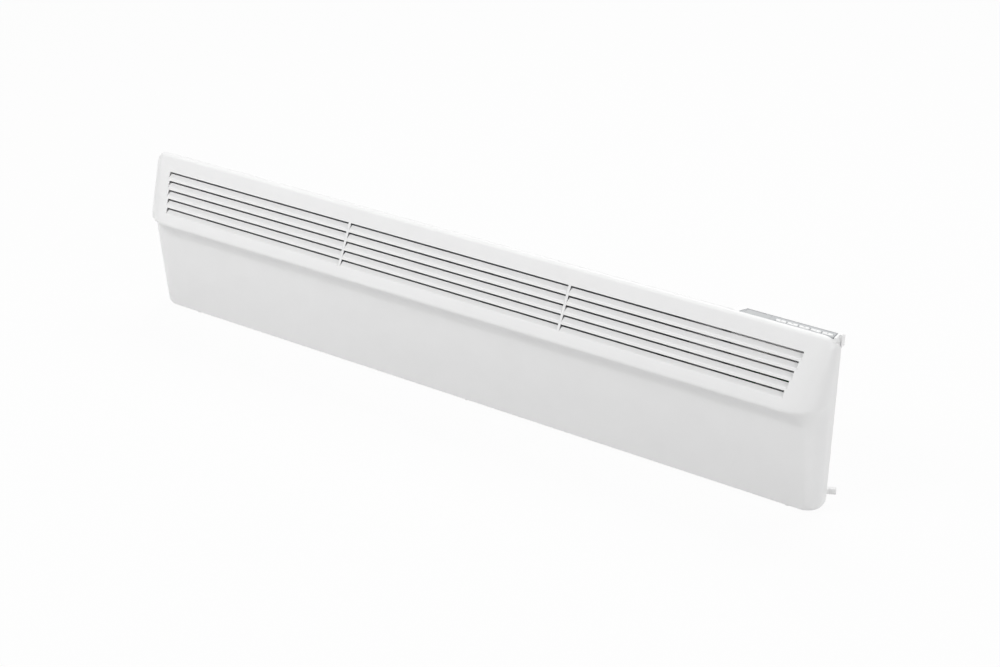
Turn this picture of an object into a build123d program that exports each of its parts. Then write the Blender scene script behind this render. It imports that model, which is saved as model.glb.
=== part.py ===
from build123d import *
import math
import os

os.makedirs("parts", exist_ok=True)

# Low wall convector. X runs along the heater, the front faces -Y, Z is up.
# The origin is the middle of the wall fixing, on the wall. All lengths in mm.

# --- the heater as a whole ---
length = 960.0
sharp_crest = 219.4  # height at which the grille face and the falling top would meet
fixing_height = 118.0  # underside of the cover to the wall fixing
wall_gap = 22.0  # wall to the back of the casing
cover_rear = 33.0  # wall to the rear edge of the cover
fit_gap = 0.3  # loose seat between two pieces
slip_gap = 0.5  # cover over casing

# --- front cover ---
cover_sheet = 1.2
panel_foot = 57.1  # wall to the foot of the lower panel
panel_lean = 0.119  # forward run of the lower panel for each mm of height
nose_drop = 82.0  # sharp crest to the sharp lower edge of the nose
nose_rise = 26.0  # height of the undercut below that edge
nose_round = 7.0  # how far the rounding of that edge reaches
panel_course_count = 2
nose_course_count = 4
round_course_count = 4
grille_course_count = 2
crest_line = 46.3  # wall to the sharp crest
grille_tilt = 28.3
top_fall = 30.0
crest_radius = 6.0
crest_course_count = 3
end_radius = 13.0  # upper corners, seen from the front
end_course_count = 2
foot_radius = 7.0
foot_course_count = 3
foot_corner = 16.0
panel_corner = 23.0
nose_corner = 41.0
crest_corner = 11.5
lip_depth = 12.0  # return flange under the cover
lip_end = 30.0  # closed ends of the underside

# --- louvres ---
louvre_rows = 5
louvre_pitch = 11.46
louvre_drop = 20.9  # sharp crest to the upper edge of the first slot
louvre_window = 9.0
louvre_flap = 7.4
louvre_angle = 35.0
louvre_relief = 0.4
slot_margin = 32.0  # end of the heater to the end of the top slot
slot_step = 2.44  # each row ends this much further in
bar_share = 0.35  # place of the upright bars, as a share of the top slot's half
bar_width = 3.0

# --- rear casing ---
casing_sheet = 1.0
casing_drop = 13.4  # sharp crest to the top of the casing
casing_depth = 38.5  # wall to the front edge of the casing's sides
side_slope = 25.0
inlet_rows = 3
inlet_columns = 11
inlet_margin = 84.0  # end of the heater to the rows of inlets
inlet_web = 14.0  # sheet left between two inlets of a row
inlet_width = 3.5
inlet_row_pitch = 6.6
inlet_first = 28.0
bead_margin = 160.0
bead_width = 12.0
bead_rise = 1.4
bead_low = 42.0
bead_drop = 26.0  # top of the casing to the upper bead

# --- wall bracket ---
bracket_sheet = 1.5
bracket_length = 460.0
bracket_height = 56.0
fixing_span = 360.0
fixing_rise = 28.0
fixing_hole = 2.75
hook_span = 200.0  # middle of the bracket to each hook
hook_width = 30.0
hook_reach = 3.0
hook_tip = 10.0
hook_taper = 80.0  # angle of the hook's sides
hook_play = 2.0

# --- wall spacers ---
spacer_margin = 39.0
spacer_width = 40.0
spacer_height = 22.0
spacer_foot = 6.0
spacer_corner = 3.0
spacer_wall = 3.6
peg_side = 8.0
peg_depth = 3.0

# --- control unit, at the right end of the top ---
panel_drop = 2.7  # sharp crest to the control panel's face
panel_front = 42.7  # wall to the front edge of the control panel
panel_back = 31.2
fascia_end = 5.5  # end of the heater to the right end of the fascia
fascia_sheet = 2.0
fascia_slant = 6.0
fascia_ledge = 1.5
housing_end = 3.0  # end of the heater to the right side of the housing
housing_round = 2.0
tub_end = 5.0  # end of the heater to the right side of the tub below the rim
housing_lead = 6.0  # housing's left side to the fascia
housing_depth = 30.7
housing_wall = 1.6
housing_chamfer = 6.0  # clears the sloping side of the casing
rim_back = 20.0
rim_depth = 19.7
rim_corner = 5.0
rim_chamfer = 4.5  # lower right corner of the rim, seen from the front
rim_ledge = 1.0  # flat of the rim behind the fascia, before its top falls away
lug_half = 6.0
lug_drop = 10.0  # foot of the housing to the screws of its lugs
lug_inset = 12.0
window_inset = 6.5
window_length = 30.0
window_width = 8.6
button_count = 5
button_lead = 5.7  # window to the first button's place
button_end = 2.8  # last button's place to the right end of the fascia
button_pitch = 13.6
button_length = 12.6
button_width = 6.0
button_proud = 0.5
button_gap = 0.3
button_front = 4.9  # front edge of the control panel to the middle of the buttons
button_travel = 0.7
button_flange = 0.9
button_edge = 0.35  # chamfer round the cap
flange_gap = 0.35  # between the flanges of two buttons
stem_side = 2.6
window_edge = 1.0  # ledge under the window

# --- control board ---
board_sheet = 1.6
display_height = 8.6  # display above the control board
board_margin = 1.0
board_rest = 4.0  # support rib under each end of the control board
digit_count = 4
digit_pitch = 6.0
digit_length = 4.0
switch_side = 6.0
switch_height = 3.5
plunger_height = 0.5

# --- heating element ---
element_margin = 50.0  # left end of the heater to the element
element_gap = 36.0  # element to the partition
element_line = 44.5  # wall to the middle of the element
element_height = 66.0
element_half_depth = 13.5
element_half_height = 30.0
arm_sheet = 2.0
fin_sheet = 1.4
fin_pitch = 6.5
fin_pairs = 4
core_radius = 8.5
rod_radius = 5.4
rod_fit = 0.05
rod_stub = 21.0
insulator_radius = 9.0
insulator_length = 12.0
insulator_shoulder = 2.0
insulator_sides = 12
holder_sheet = 1.2
holder_gap = 6.0
holder_half_height = 22.0
holder_foot = 13.0
terminal_length = 9.0
terminal_width = 6.3
terminal_sheet = 0.8

# --- heat shield and partition ---
shield_sheet = 0.6
shield_foot = 14.0
shield_seat = 12.0
shield_step = 19.2  # foot of the shield to the end of its step away from the casing
shield_line = 28.5
shield_bend_drop = 56.0  # top of the casing to the shield's bend
shield_drop = 8.0
shield_lip = 44.0
shield_screw_inset = 20.0
partition_gap = 9.5  # partition to the control housing
partition_sheet = 1.0
partition_foot = 4.0
partition_drop = 7.0
partition_flange = 12.0
flange_margin = 40.0
partition_screw_low = 45.0
partition_screw_drop = 51.0
wire_hole = 5.0

# --- cut-out, sensor and electronics; each spot is from the board's left edge and above the underside ---
cutout_inset = 40.0  # right end of the element to the cut-out
cutout_height = 122.0
cutout_radius = 8.0
cutout_body = 6.0
cutout_flange = 26.0
sensor_inset = 57.0
sensor_line = 46.0
sensor_radius = 2.4
sensor_length = 12.0
board_gap = 12.0  # partition to the power board
board_length = 94.0
board_low = 62.0
board_high = 140.0
standoff_height = 5.0
standoff_radius = 3.5
standoff_inset = 6.0
relay_size = (19.0, 15.5, 15.0)
relay_spot = (22.0, 82.0)
capacitor_radius = 8.0
capacitor_length = 18.0
capacitor_spot = (46.0, 84.0)
transformer_size = (28.0, 24.0, 17.0)
transformer_spot = (76.0, 88.0)
triac_size = (34.0, 26.0, 14.0)
triac_spot = (22.0, 110.0)
triac_base = 2.8
triac_fins = 6
plug_size = (16.0, 8.0, 9.0)
plug_height = 131.0  # the two plugs at the top of the power board
supply_plug_height = 68.0
terminal_block_size = (36.0, 16.0, 14.0)
terminal_block_spot = (82.0, 34.0)
terminal_ways = 3
terminal_screw = 2.5

# --- cable gland, on the sloping right side of the casing ---
gland_height = 15.5
gland_bore = 3.4
gland_sleeve = 4.4
gland_reach = 12.0
gland_flange = 5.6
gland_neck = 4.2
gland_seat = 0.3

# --- leads inside the heater ---
lead_radius = 1.3
lead_height = 12.0  # long lead above the underside
lead_line = 31.5  # wall to the long lead
lead_bends = (2.6, 7.8, 15.6)  # bends of the long lead, from the element to the relay
lead_margin = 12.0  # left end of the heater to the long lead's turn
lead_rise = 28.0  # board's left edge to the long lead's rise to the relay
flat_lead = 1.4
control_lead_inset = 37.0
control_lead_width = 10.0
control_lead_bow = 6.0
sensor_lead_width = 3.0
cutout_lead_line = 46.0
cutout_lead_width = 5.0
cutout_lead_inset = 46.0
clip_side = 8.0
clip_columns = (-4.5, -1.5, 1.5, 4.5)  # between columns of inlets
earth_height = 52.0
earth_reach = 12.0

# --- screws ---
cover_screw_margin = 48.0
cover_screw_shift = 10.0
screw_sides = 8
screw_shank = 2.0
screw_head = 3.6
screw_head_height = 2.2
screw_length = 7.0
screw_point = 2.0  # length of a screw beyond the sheet it holds
housing_lug = 2.0
hole_play = 0.15

# --- worked out from the above ---
floor = -fixing_height
half_length = length / 2
grille_lean = math.tan(math.radians(grille_tilt))
back_inner = wall_gap + casing_sheet
casing_foot = cover_sheet + fit_gap
casing_half = half_length - cover_sheet - slip_gap
casing_corner = foot_radius - cover_sheet - slip_gap
hole_radius = screw_shank + hole_play
cover_screw_line = panel_foot - lip_depth / 2
cover_screw_pitch = half_length - cover_screw_margin
cover_screw_places = [cover_screw_shift + cover_screw_pitch * step for step in (-1, 0, 1)]
nose_edge = sharp_crest - nose_drop
nose_foot = nose_edge - nose_rise
louvre_top = sharp_crest - louvre_drop
top_slot_half = half_length - slot_margin
bar_place = bar_share * top_slot_half
casing_top = sharp_crest - casing_drop
inlet_pitch = (length - 2 * inlet_margin) / inlet_columns
bead_length = length - 2 * bead_margin
bead_heights = (bead_low, casing_top - bead_drop)
spacer_place = half_length - spacer_margin
panel_top = sharp_crest - panel_drop
fascia_right = half_length - fascia_end
fascia_length = window_inset + window_length + button_lead + button_count * button_pitch + button_end
fascia_left = fascia_right - fascia_length
fascia_foot = panel_top - fascia_sheet
housing_right = half_length - housing_end
tub_right = half_length - tub_end
housing_left = fascia_left - housing_lead
housing_foot = panel_top - housing_depth
rim_foot = panel_top - rim_depth
board_height = fascia_foot - fit_gap - display_height - board_sheet
button_line = panel_front - button_front
button_first = fascia_right - button_end - (button_count - 0.5) * button_pitch
button_places = [button_first + button_pitch * step for step in range(button_count)]
partition_place = housing_left - partition_gap
partition_top = casing_top - partition_drop
shield_bend = casing_top - shield_bend_drop
shield_top = casing_top - shield_drop
element_left = element_margin - half_length
element_right = partition_place - element_gap
board_left = partition_place + board_gap
board_right = board_left + board_length
relay_place = (board_left + relay_spot[0], relay_spot[1])
capacitor_place = (board_left + capacitor_spot[0], capacitor_spot[1])
transformer_place = (board_left + transformer_spot[0], transformer_spot[1])
triac_place = (board_left + triac_spot[0], triac_spot[1])
terminal_block_place = (board_left + terminal_block_spot[0], terminal_block_spot[1])
sensor_place = board_left + sensor_inset
cutout_place = element_right - cutout_inset
cutout_lead_end = board_left + cutout_lead_inset
control_lead_place = board_left + control_lead_inset
lead_rise_place = board_left + lead_rise
lead_end = half_length - lead_margin
clip_places = [inlet_pitch * column for column in clip_columns]


def keep(piece, name):
    """Label a finished piece and write it to its own file."""
    piece.part.label = name
    export_step(piece.part, f"parts/{name}.step")


def level(h):
    """The level plane at a height above the heater's underside."""
    return Plane.XY.offset(floor + h)


def across(x):
    """The cross-section plane at x, with local axes Y and Z."""
    return Plane.YZ.offset(x)


def upright(depth):
    """The upright plane at a distance from the wall, looking away from the wall."""
    return Plane(origin=(0, -depth, floor), x_dir=(1, 0, 0), z_dir=(0, -1, 0))


# --- front cover: a drawn shell with a leaning panel, an undercut nose and a flat grille face ---
grille_thick = 1 / math.cos(math.radians(grille_tilt))
crest_angle = math.radians(90 - grille_tilt + top_fall)  # turn of the sheet over the crest
crest_set = crest_radius / math.cos(crest_angle / 2)
crest_turn = math.radians(45 - (grille_tilt + top_fall) / 2)
crest_centre = (crest_line - crest_set * math.sin(crest_turn), sharp_crest - crest_set * math.cos(crest_turn))
crest_height = crest_centre[1] + crest_radius
end_centre = crest_height - end_radius
nose_reach = crest_line + grille_lean * nose_drop - panel_foot - panel_lean * nose_edge
top_normal = Vector(0, math.sin(math.radians(top_fall)), math.cos(math.radians(top_fall)))


def cover_front(h, inset=0.0):
    """Wall to the front of the cover at a height, drawn in by the inset."""
    tangent = crest_centre[1] + (crest_radius - inset) * math.sin(math.radians(grille_tilt))
    if h > tangent:
        return crest_centre[0] + math.sqrt(max((crest_radius - inset) ** 2 - (h - crest_centre[1]) ** 2, 0.0))
    rise = max(h - nose_foot, 0.0) / nose_rise
    slope = panel_lean + 2 * nose_reach * rise / nose_rise
    undercut = panel_foot + panel_lean * h + nose_reach * rise**2 - inset * math.hypot(1.0, slope)
    grille = crest_line + grille_lean * (sharp_crest - h) - inset * grille_thick
    near = max(1.0 - abs(undercut - grille) / nose_round, 0.0)
    return min(undercut, grille) - near**2 * nose_round / 4


def cover_corner(h):
    """Radius of the upright corners at a height."""
    if h < nose_foot:
        return foot_corner + (panel_corner - foot_corner) * h / nose_foot
    if h < nose_edge:
        return panel_corner + (nose_corner - panel_corner) * (h - nose_foot) / nose_rise
    return nose_corner + (crest_corner - nose_corner) * (h - nose_edge) / (crest_height - nose_edge)


def cover_half(h, inset=0.0):
    low = foot_radius - min(h, foot_radius)
    high = max(h, end_centre) - end_centre
    foot = foot_radius - math.sqrt(max((foot_radius - inset) ** 2 - low**2, 0.0))
    end = end_radius - math.sqrt(max((end_radius - inset) ** 2 - high**2, 0.0))
    return half_length - max(foot, end)


def steps(low, high, count):
    return [low + (high - low) * step / count for step in range(count + 1)]


def cover_body(inset, rear):
    """The cover as a solid block, drawn in by the inset on every outer side."""
    round_reach = nose_round / (2 * nose_reach / nose_rise + panel_lean + grille_lean)
    foot_turns = steps(0, math.pi / 2, foot_course_count)
    crest_turns = steps(0, math.pi / 2, crest_course_count)
    heights = [foot_radius - (foot_radius - inset) * math.cos(turn) for turn in foot_turns]
    heights += steps(foot_radius, nose_foot, panel_course_count)[1:]
    heights += steps(nose_foot, nose_edge - round_reach, nose_course_count)[1:]
    heights += steps(nose_edge - round_reach, nose_edge + round_reach, round_course_count)[1:]
    heights += steps(nose_edge + round_reach, end_centre, grille_course_count)[1:]
    heights += steps(end_centre, crest_centre[1], end_course_count)[1:]
    heights += [crest_centre[1] + (crest_radius - inset) * math.sin(turn) for turn in crest_turns[1:]]
    crest = Vector(0, -crest_line, floor + sharp_crest) - top_normal * inset
    falling_top = Plane(origin=crest, x_dir=(1, 0, 0), z_dir=top_normal)
    with BuildPart() as body:
        for h in heights:
            front = cover_front(h, inset)
            half = cover_half(h, inset)
            corner = min(cover_corner(h), cover_front(h) - cover_rear - slip_gap) - inset
            with BuildSketch(level(h)):
                with BuildLine():
                    left = Line((-half, -rear), (-half, -front + corner))
                    arc = TangentArc(left @ 1, (-half + corner, -front), tangent=left % 1)
                    face = Line(arc @ 1, (half - corner, -front))
                    bend = TangentArc(face @ 1, (half, -front + corner), tangent=face % 1)
                    right = Line(bend @ 1, (half, -rear))
                    Line(right @ 1, left @ 0)
                make_face()
        loft(ruled=True)
        split(bisect_by=falling_top, keep=Keep.BOTTOM)
    return body.part


grille_up = Vector(0, math.sin(math.radians(grille_tilt)), math.cos(math.radians(grille_tilt)))
grille_out = Vector(0, -math.cos(math.radians(grille_tilt)), math.sin(math.radians(grille_tilt)))
first_edge = Vector(0, -crest_line - grille_lean * (sharp_crest - louvre_top), floor + louvre_top)


def louvre_bays(row):
    """Left and right end of each bay of a row of louvres."""
    end = top_slot_half - slot_step * row
    inner = bar_place - bar_width / 2
    outer = bar_place + bar_width / 2
    return [(-end, -outer), (-inner, inner), (outer, end)]


with BuildPart() as front_cover:
    add(cover_body(0.0, cover_rear))
    add(cover_body(cover_sheet, cover_rear - crest_corner), mode=Mode.SUBTRACT)
    # open underside, behind the return flange
    mouth_front = panel_foot - lip_depth
    with BuildSketch(level(0)):
        with Locations((0, -mouth_front / 2)):
            Rectangle(length - 2 * lip_end, mouth_front)
    extrude(amount=cover_sheet + slip_gap, mode=Mode.SUBTRACT)
    # notch in the top for the control housing
    with BuildSketch(level(sharp_crest)):
        with Locations(((housing_left + housing_right) / 2, -panel_front / 2)):
            Rectangle(housing_right - housing_left + 2 * fit_gap, panel_front)
    extrude(amount=-(sharp_crest - housing_foot), mode=Mode.SUBTRACT)
    # screw holes in the return flange
    with BuildSketch(level(0)):
        with Locations([(x, -cover_screw_line) for x in cover_screw_places]):
            RegularPolygon(hole_radius, screw_sides)
    extrude(amount=cover_sheet + slip_gap, mode=Mode.SUBTRACT)
    # windows of the louvres
    for row in range(louvre_rows):
        corner_point = first_edge - grille_up * (louvre_pitch * row)
        face = Plane(origin=corner_point, x_dir=(1, 0, 0), z_dir=grille_out)
        for left, right in louvre_bays(row):
            with BuildSketch(face):
                with Locations(((left + right) / 2, -louvre_window / 2)):
                    Rectangle(right - left, louvre_window)
            extrude(amount=-2 * cover_sheet, mode=Mode.SUBTRACT)
    # flaps, each bent inwards about the lower edge of its window
    bend_cos = math.cos(math.radians(louvre_angle))
    bend_sin = math.sin(math.radians(louvre_angle))
    root = cover_sheet * (1 - bend_cos) / bend_sin
    flap_profile = [
        (0, 0),
        (louvre_flap * bend_cos, louvre_flap * bend_sin),
        (louvre_flap * bend_cos - cover_sheet * bend_sin, louvre_flap * bend_sin + cover_sheet * bend_cos),
        (root * bend_cos - cover_sheet * bend_sin, cover_sheet),
        (-louvre_relief, cover_sheet),
        (-louvre_relief, 0),
    ]
    for row in range(louvre_rows):
        hinge = first_edge - grille_up * (louvre_pitch * row + louvre_window)
        for left, right in louvre_bays(row):
            start = Vector(left + louvre_relief, hinge.Y, hinge.Z)
            section = Plane(origin=start, x_dir=grille_up, z_dir=(-1, 0, 0))
            with BuildSketch(section):
                Polygon(*flap_profile, align=None)
            extrude(amount=-(right - left - 2 * louvre_relief))
keep(front_cover, "front_cover")


# --- cable gland's seat, shared by the casing and the gland ---
side_normal = Vector(math.cos(math.radians(side_slope)), math.sin(math.radians(side_slope)), 0)
casing_step = cover_rear - wall_gap
back_half = casing_half - casing_step * math.tan(math.radians(side_slope))
gland_seat_point = Vector(
    (casing_half + back_half) / 2, -(cover_rear + wall_gap) / 2, floor + gland_height
) + side_normal * gland_seat
gland_plane = Plane(origin=gland_seat_point, x_dir=(0, 0, 1), z_dir=side_normal)

# --- fixing points and levels shared by several pieces ---
board_back = back_inner + standoff_height
board_face = board_back + board_sheet
plug_line = board_face + plug_size[2] / 2
plug_places = [(control_lead_place, plug_height), (sensor_place, plug_height)]
way_pitch = terminal_block_size[0] / terminal_ways
way_places = [terminal_block_place[0] + way_pitch * step for step in (-1, 0, 1)]
plug_places.append(((way_places[0] + way_places[1]) / 2, supply_plug_height))
hook_height = fixing_height + bracket_height / 2  # top of the bracket
slot_height = bracket_sheet + hook_tip + 2 * hook_play
holder_places = (element_left - holder_gap - holder_sheet, element_right + holder_gap)
holder_screw_places = [
    (x, element_height + rise)
    for x in (holder_places[0] - holder_foot / 2, holder_places[1] + holder_sheet + holder_foot / 2)
    for rise in (-holder_half_height / 2, holder_half_height / 2)
]
shield_left = element_left + 2 * holder_gap
shield_right = element_right - 2 * holder_gap
shield_screw_height = shield_foot + shield_seat / 2
shield_screw_ends = (shield_left + shield_screw_inset, shield_right - shield_screw_inset)
shield_screw_places = [(x, shield_screw_height) for x in steps(*shield_screw_ends, 2)]
partition_screw_x = partition_place - partition_flange / 2
partition_screw_heights = (partition_screw_low, casing_top - partition_screw_drop)
partition_screw_places = [(partition_screw_x, h) for h in partition_screw_heights]
board_corners = [
    (x, h)
    for x in (board_left + standoff_inset, board_right - standoff_inset)
    for h in (board_low + standoff_inset, board_high - standoff_inset)
]
housing_lug_places = [(x, housing_foot - lug_drop) for x in (housing_left + lug_inset, tub_right - lug_inset)]
back_screw_places = (
    holder_screw_places + shield_screw_places + partition_screw_places + board_corners + housing_lug_places
)


def casing_block(inset):
    """The casing's pan as a solid block, drawn in by the inset."""
    half = casing_half - inset
    rear_half = back_half - inset
    front = casing_depth + (slip_gap if inset else 0.0)
    plan = [
        (-half, -front),
        (-half, -cover_rear),
        (-rear_half, -wall_gap - inset),
        (rear_half, -wall_gap - inset),
        (half, -cover_rear),
        (half, -front),
    ]
    with BuildPart() as block:
        with BuildSketch(level(casing_foot + inset)):
            Polygon(*plan, align=None)
        extrude(amount=casing_top - casing_foot - 2 * inset)
        low = block.edges().group_by(Axis.Z)[0]
        ends = [edge for edge in low if abs(edge.center().X) > rear_half - slip_gap]
        fillet(ends, radius=casing_corner - inset)
    return block.part


with BuildPart() as rear_casing:
    add(casing_block(0.0))
    add(casing_block(casing_sheet), mode=Mode.SUBTRACT)
    # floor of the casing, carried forward over the cover's return flange
    floor_front = panel_foot - cover_sheet - slip_gap
    floor_half = half_length - lip_end
    with BuildSketch(level(casing_foot)) as floor_plate:
        with Locations((0, -(floor_front + back_inner) / 2)):
            Rectangle(2 * floor_half, floor_front - back_inner)
        fillet(floor_plate.vertices().group_by(Axis.Y)[0], radius=lip_depth)
    extrude(amount=casing_sheet)
    # air inlets, rows of long slots
    inlet_middle = inlet_first + inlet_row_pitch * (inlet_rows - 1) / 2
    with BuildSketch(level(casing_foot)):
        with Locations((0, -inlet_middle)):
            with GridLocations(inlet_pitch, inlet_row_pitch, inlet_columns, inlet_rows):
                Rectangle(inlet_pitch - inlet_web, inlet_width)
    extrude(amount=casing_sheet, mode=Mode.SUBTRACT)
    # pressed stiffening beads
    for bead in bead_heights:
        with BuildSketch(upright(wall_gap)):
            with Locations((0, bead)):
                SlotOverall(bead_length, bead_width)
        extrude(amount=-bead_rise, taper=side_slope)
        with BuildSketch(upright(back_inner)):
            with Locations((0, bead)):
                SlotOverall(bead_length - casing_sheet, bead_width - casing_sheet)
        extrude(amount=-bead_rise, taper=side_slope, mode=Mode.SUBTRACT)
    # slots for the bracket's hooks
    with BuildSketch(upright(wall_gap - casing_sheet)):
        with Locations([(x, hook_height - bracket_sheet + slot_height / 2) for x in (-hook_span, hook_span)]):
            Rectangle(hook_width + 2 * hook_play, slot_height)
    extrude(amount=3 * casing_sheet, mode=Mode.SUBTRACT)
    # holes for the spacers' pegs
    with BuildSketch(upright(wall_gap - casing_sheet)):
        with Locations([(x, spacer_foot + spacer_height / 2) for x in (-spacer_place, spacer_place)]):
            Rectangle(peg_side + fit_gap, peg_side + fit_gap)
    extrude(amount=3 * casing_sheet, mode=Mode.SUBTRACT)
    # room for the control housing at the top right corner
    with BuildSketch(level(rim_foot - fit_gap)):
        with Locations(((housing_left + length) / 2 - housing_wall, -(casing_depth + rim_back) / 2)):
            Rectangle(length - housing_left, casing_depth - rim_back + 2 * casing_sheet)
    extrude(amount=casing_top, mode=Mode.SUBTRACT)
    # screw holes through the back and the floor
    with BuildSketch(upright(wall_gap - casing_sheet)):
        with Locations(back_screw_places):
            RegularPolygon(hole_radius, screw_sides)
    extrude(amount=3 * casing_sheet, mode=Mode.SUBTRACT)
    with BuildSketch(level(casing_foot)):
        with Locations([(x, -cover_screw_line) for x in cover_screw_places]):
            RegularPolygon(hole_radius, screw_sides)
    extrude(amount=casing_sheet, mode=Mode.SUBTRACT)
    # flat seat for the cable gland, pressed into the sloping side
    with BuildSketch(gland_plane):
        Circle(gland_flange + gland_seat)
    extrude(amount=-gland_sleeve)
    with BuildSketch(gland_plane.offset(-casing_sheet)):
        Circle(gland_flange + gland_seat - casing_sheet)
    extrude(amount=-4 * gland_sleeve, mode=Mode.SUBTRACT)
    with BuildSketch(gland_plane):
        RegularPolygon(gland_neck + hole_play, screw_sides)
    extrude(amount=-2 * casing_sheet, mode=Mode.SUBTRACT)
keep(rear_casing, "rear_casing")

# --- cable gland: flange outside, snap lip inside, hollow for the supply lead ---
with BuildPart() as cable_gland:
    with BuildSketch(gland_plane.offset(-casing_sheet - 2 * gland_seat - hole_play)):
        RegularPolygon(gland_neck + 2 * hole_play, screw_sides)
    extrude(amount=2 * gland_seat)
    with BuildSketch(gland_plane.offset(-casing_sheet - hole_play)):
        RegularPolygon(gland_neck, screw_sides)
    extrude(amount=casing_sheet + hole_play)
    with BuildSketch(gland_plane):
        Circle(gland_flange)
    extrude(amount=casing_sheet)
    with BuildSketch(gland_plane.offset(casing_sheet)):
        Circle(gland_sleeve)
    extrude(amount=gland_reach - casing_sheet)
    with BuildSketch(gland_plane.offset(gland_reach)):
        Circle(gland_bore)
    extrude(amount=-2 * gland_reach, mode=Mode.SUBTRACT)
keep(cable_gland, "cable_gland")

# --- wall bracket: a plate on the wall with two folded ledges and two hooks ---
with BuildPart() as wall_bracket:
    ledge = wall_gap - fit_gap
    top_edge = hook_height
    with BuildSketch(upright(0)):
        with Locations((0, fixing_height)):
            Rectangle(bracket_length, bracket_height - 2 * bracket_sheet)
    extrude(amount=bracket_sheet)
    for h in (top_edge - bracket_sheet, top_edge - bracket_height):
        with BuildSketch(level(h)):
            with Locations((0, -ledge / 2)):
                Rectangle(bracket_length, ledge)
        extrude(amount=bracket_sheet)
    folds = wall_bracket.edges().filter_by(Axis.X).filter_by(lambda edge: abs(edge.center().Y) < fit_gap)
    fillet([edge for edge in folds if edge.length > bracket_length / 2], radius=bracket_sheet / 2)
    for x in (-hook_span, hook_span):
        hook_depth = back_inner + hook_reach
        with BuildSketch(level(top_edge - bracket_sheet)):
            with Locations((x, -(ledge - bracket_sheet + hook_depth) / 2)):
                Rectangle(hook_width, hook_depth - ledge + bracket_sheet)
        extrude(amount=bracket_sheet)
        with BuildSketch(upright(hook_depth - bracket_sheet)):
            with Locations((x, top_edge - bracket_sheet + (hook_tip + bracket_sheet) / 2)):
                Trapezoid(hook_width, hook_tip + bracket_sheet, hook_taper)
        extrude(amount=bracket_sheet)
    with BuildSketch(upright(-bracket_sheet)):
        with Locations((0, fixing_height)):
            with GridLocations(fixing_span, fixing_rise, 2, 2):
                Circle(fixing_hole)
    extrude(amount=3 * bracket_sheet, mode=Mode.SUBTRACT)
keep(wall_bracket, "wall_bracket")


# --- wall spacers: they hold the foot of the heater off the wall ---
def wall_spacer(x):
    with BuildPart() as spacer:
        with BuildSketch(upright(wall_gap)):
            with Locations((x, spacer_foot + spacer_height / 2)):
                RectangleRounded(spacer_width, spacer_height, spacer_corner)
        extrude(amount=-wall_gap)
        with BuildSketch(upright(0)):
            with Locations((x, spacer_foot + spacer_height / 2)):
                with GridLocations((spacer_width - spacer_wall) / 2, 0, 2, 1):
                    Rectangle((spacer_width - 3 * spacer_wall) / 2, spacer_height - 2 * spacer_wall)
        extrude(amount=wall_gap - 2 * casing_sheet, mode=Mode.SUBTRACT)
        with BuildSketch(upright(wall_gap)):
            with Locations((x, spacer_foot + spacer_height / 2)):
                Rectangle(peg_side, peg_side)
        extrude(amount=peg_depth)
    return spacer


keep(wall_spacer(-spacer_place), "wall_spacer_left")
keep(wall_spacer(spacer_place), "wall_spacer_right")

# --- control housing: a tub behind the crest with a rim over the casing ---
tub_depth = panel_front - back_inner - fit_gap
fascia_middle = (fascia_left + fascia_right) / 2
window_place = (fascia_left + window_inset + window_length / 2, -(panel_front + panel_back) / 2)
hollow_length = fascia_length - 2 * fascia_ledge
hollow_depth = tub_depth - 2 * housing_wall
hollow_top = fascia_foot - 3 * housing_wall
hollow_place = (fascia_middle, -(panel_front + back_inner + fit_gap) / 2)


def fascia_outline(inset):
    return [
        (fascia_left + inset, -panel_front + inset),
        (fascia_left + fascia_slant + inset, -panel_back - inset),
        (fascia_right - inset, -panel_back - inset),
        (fascia_right - inset, -panel_front + inset),
    ]


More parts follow.
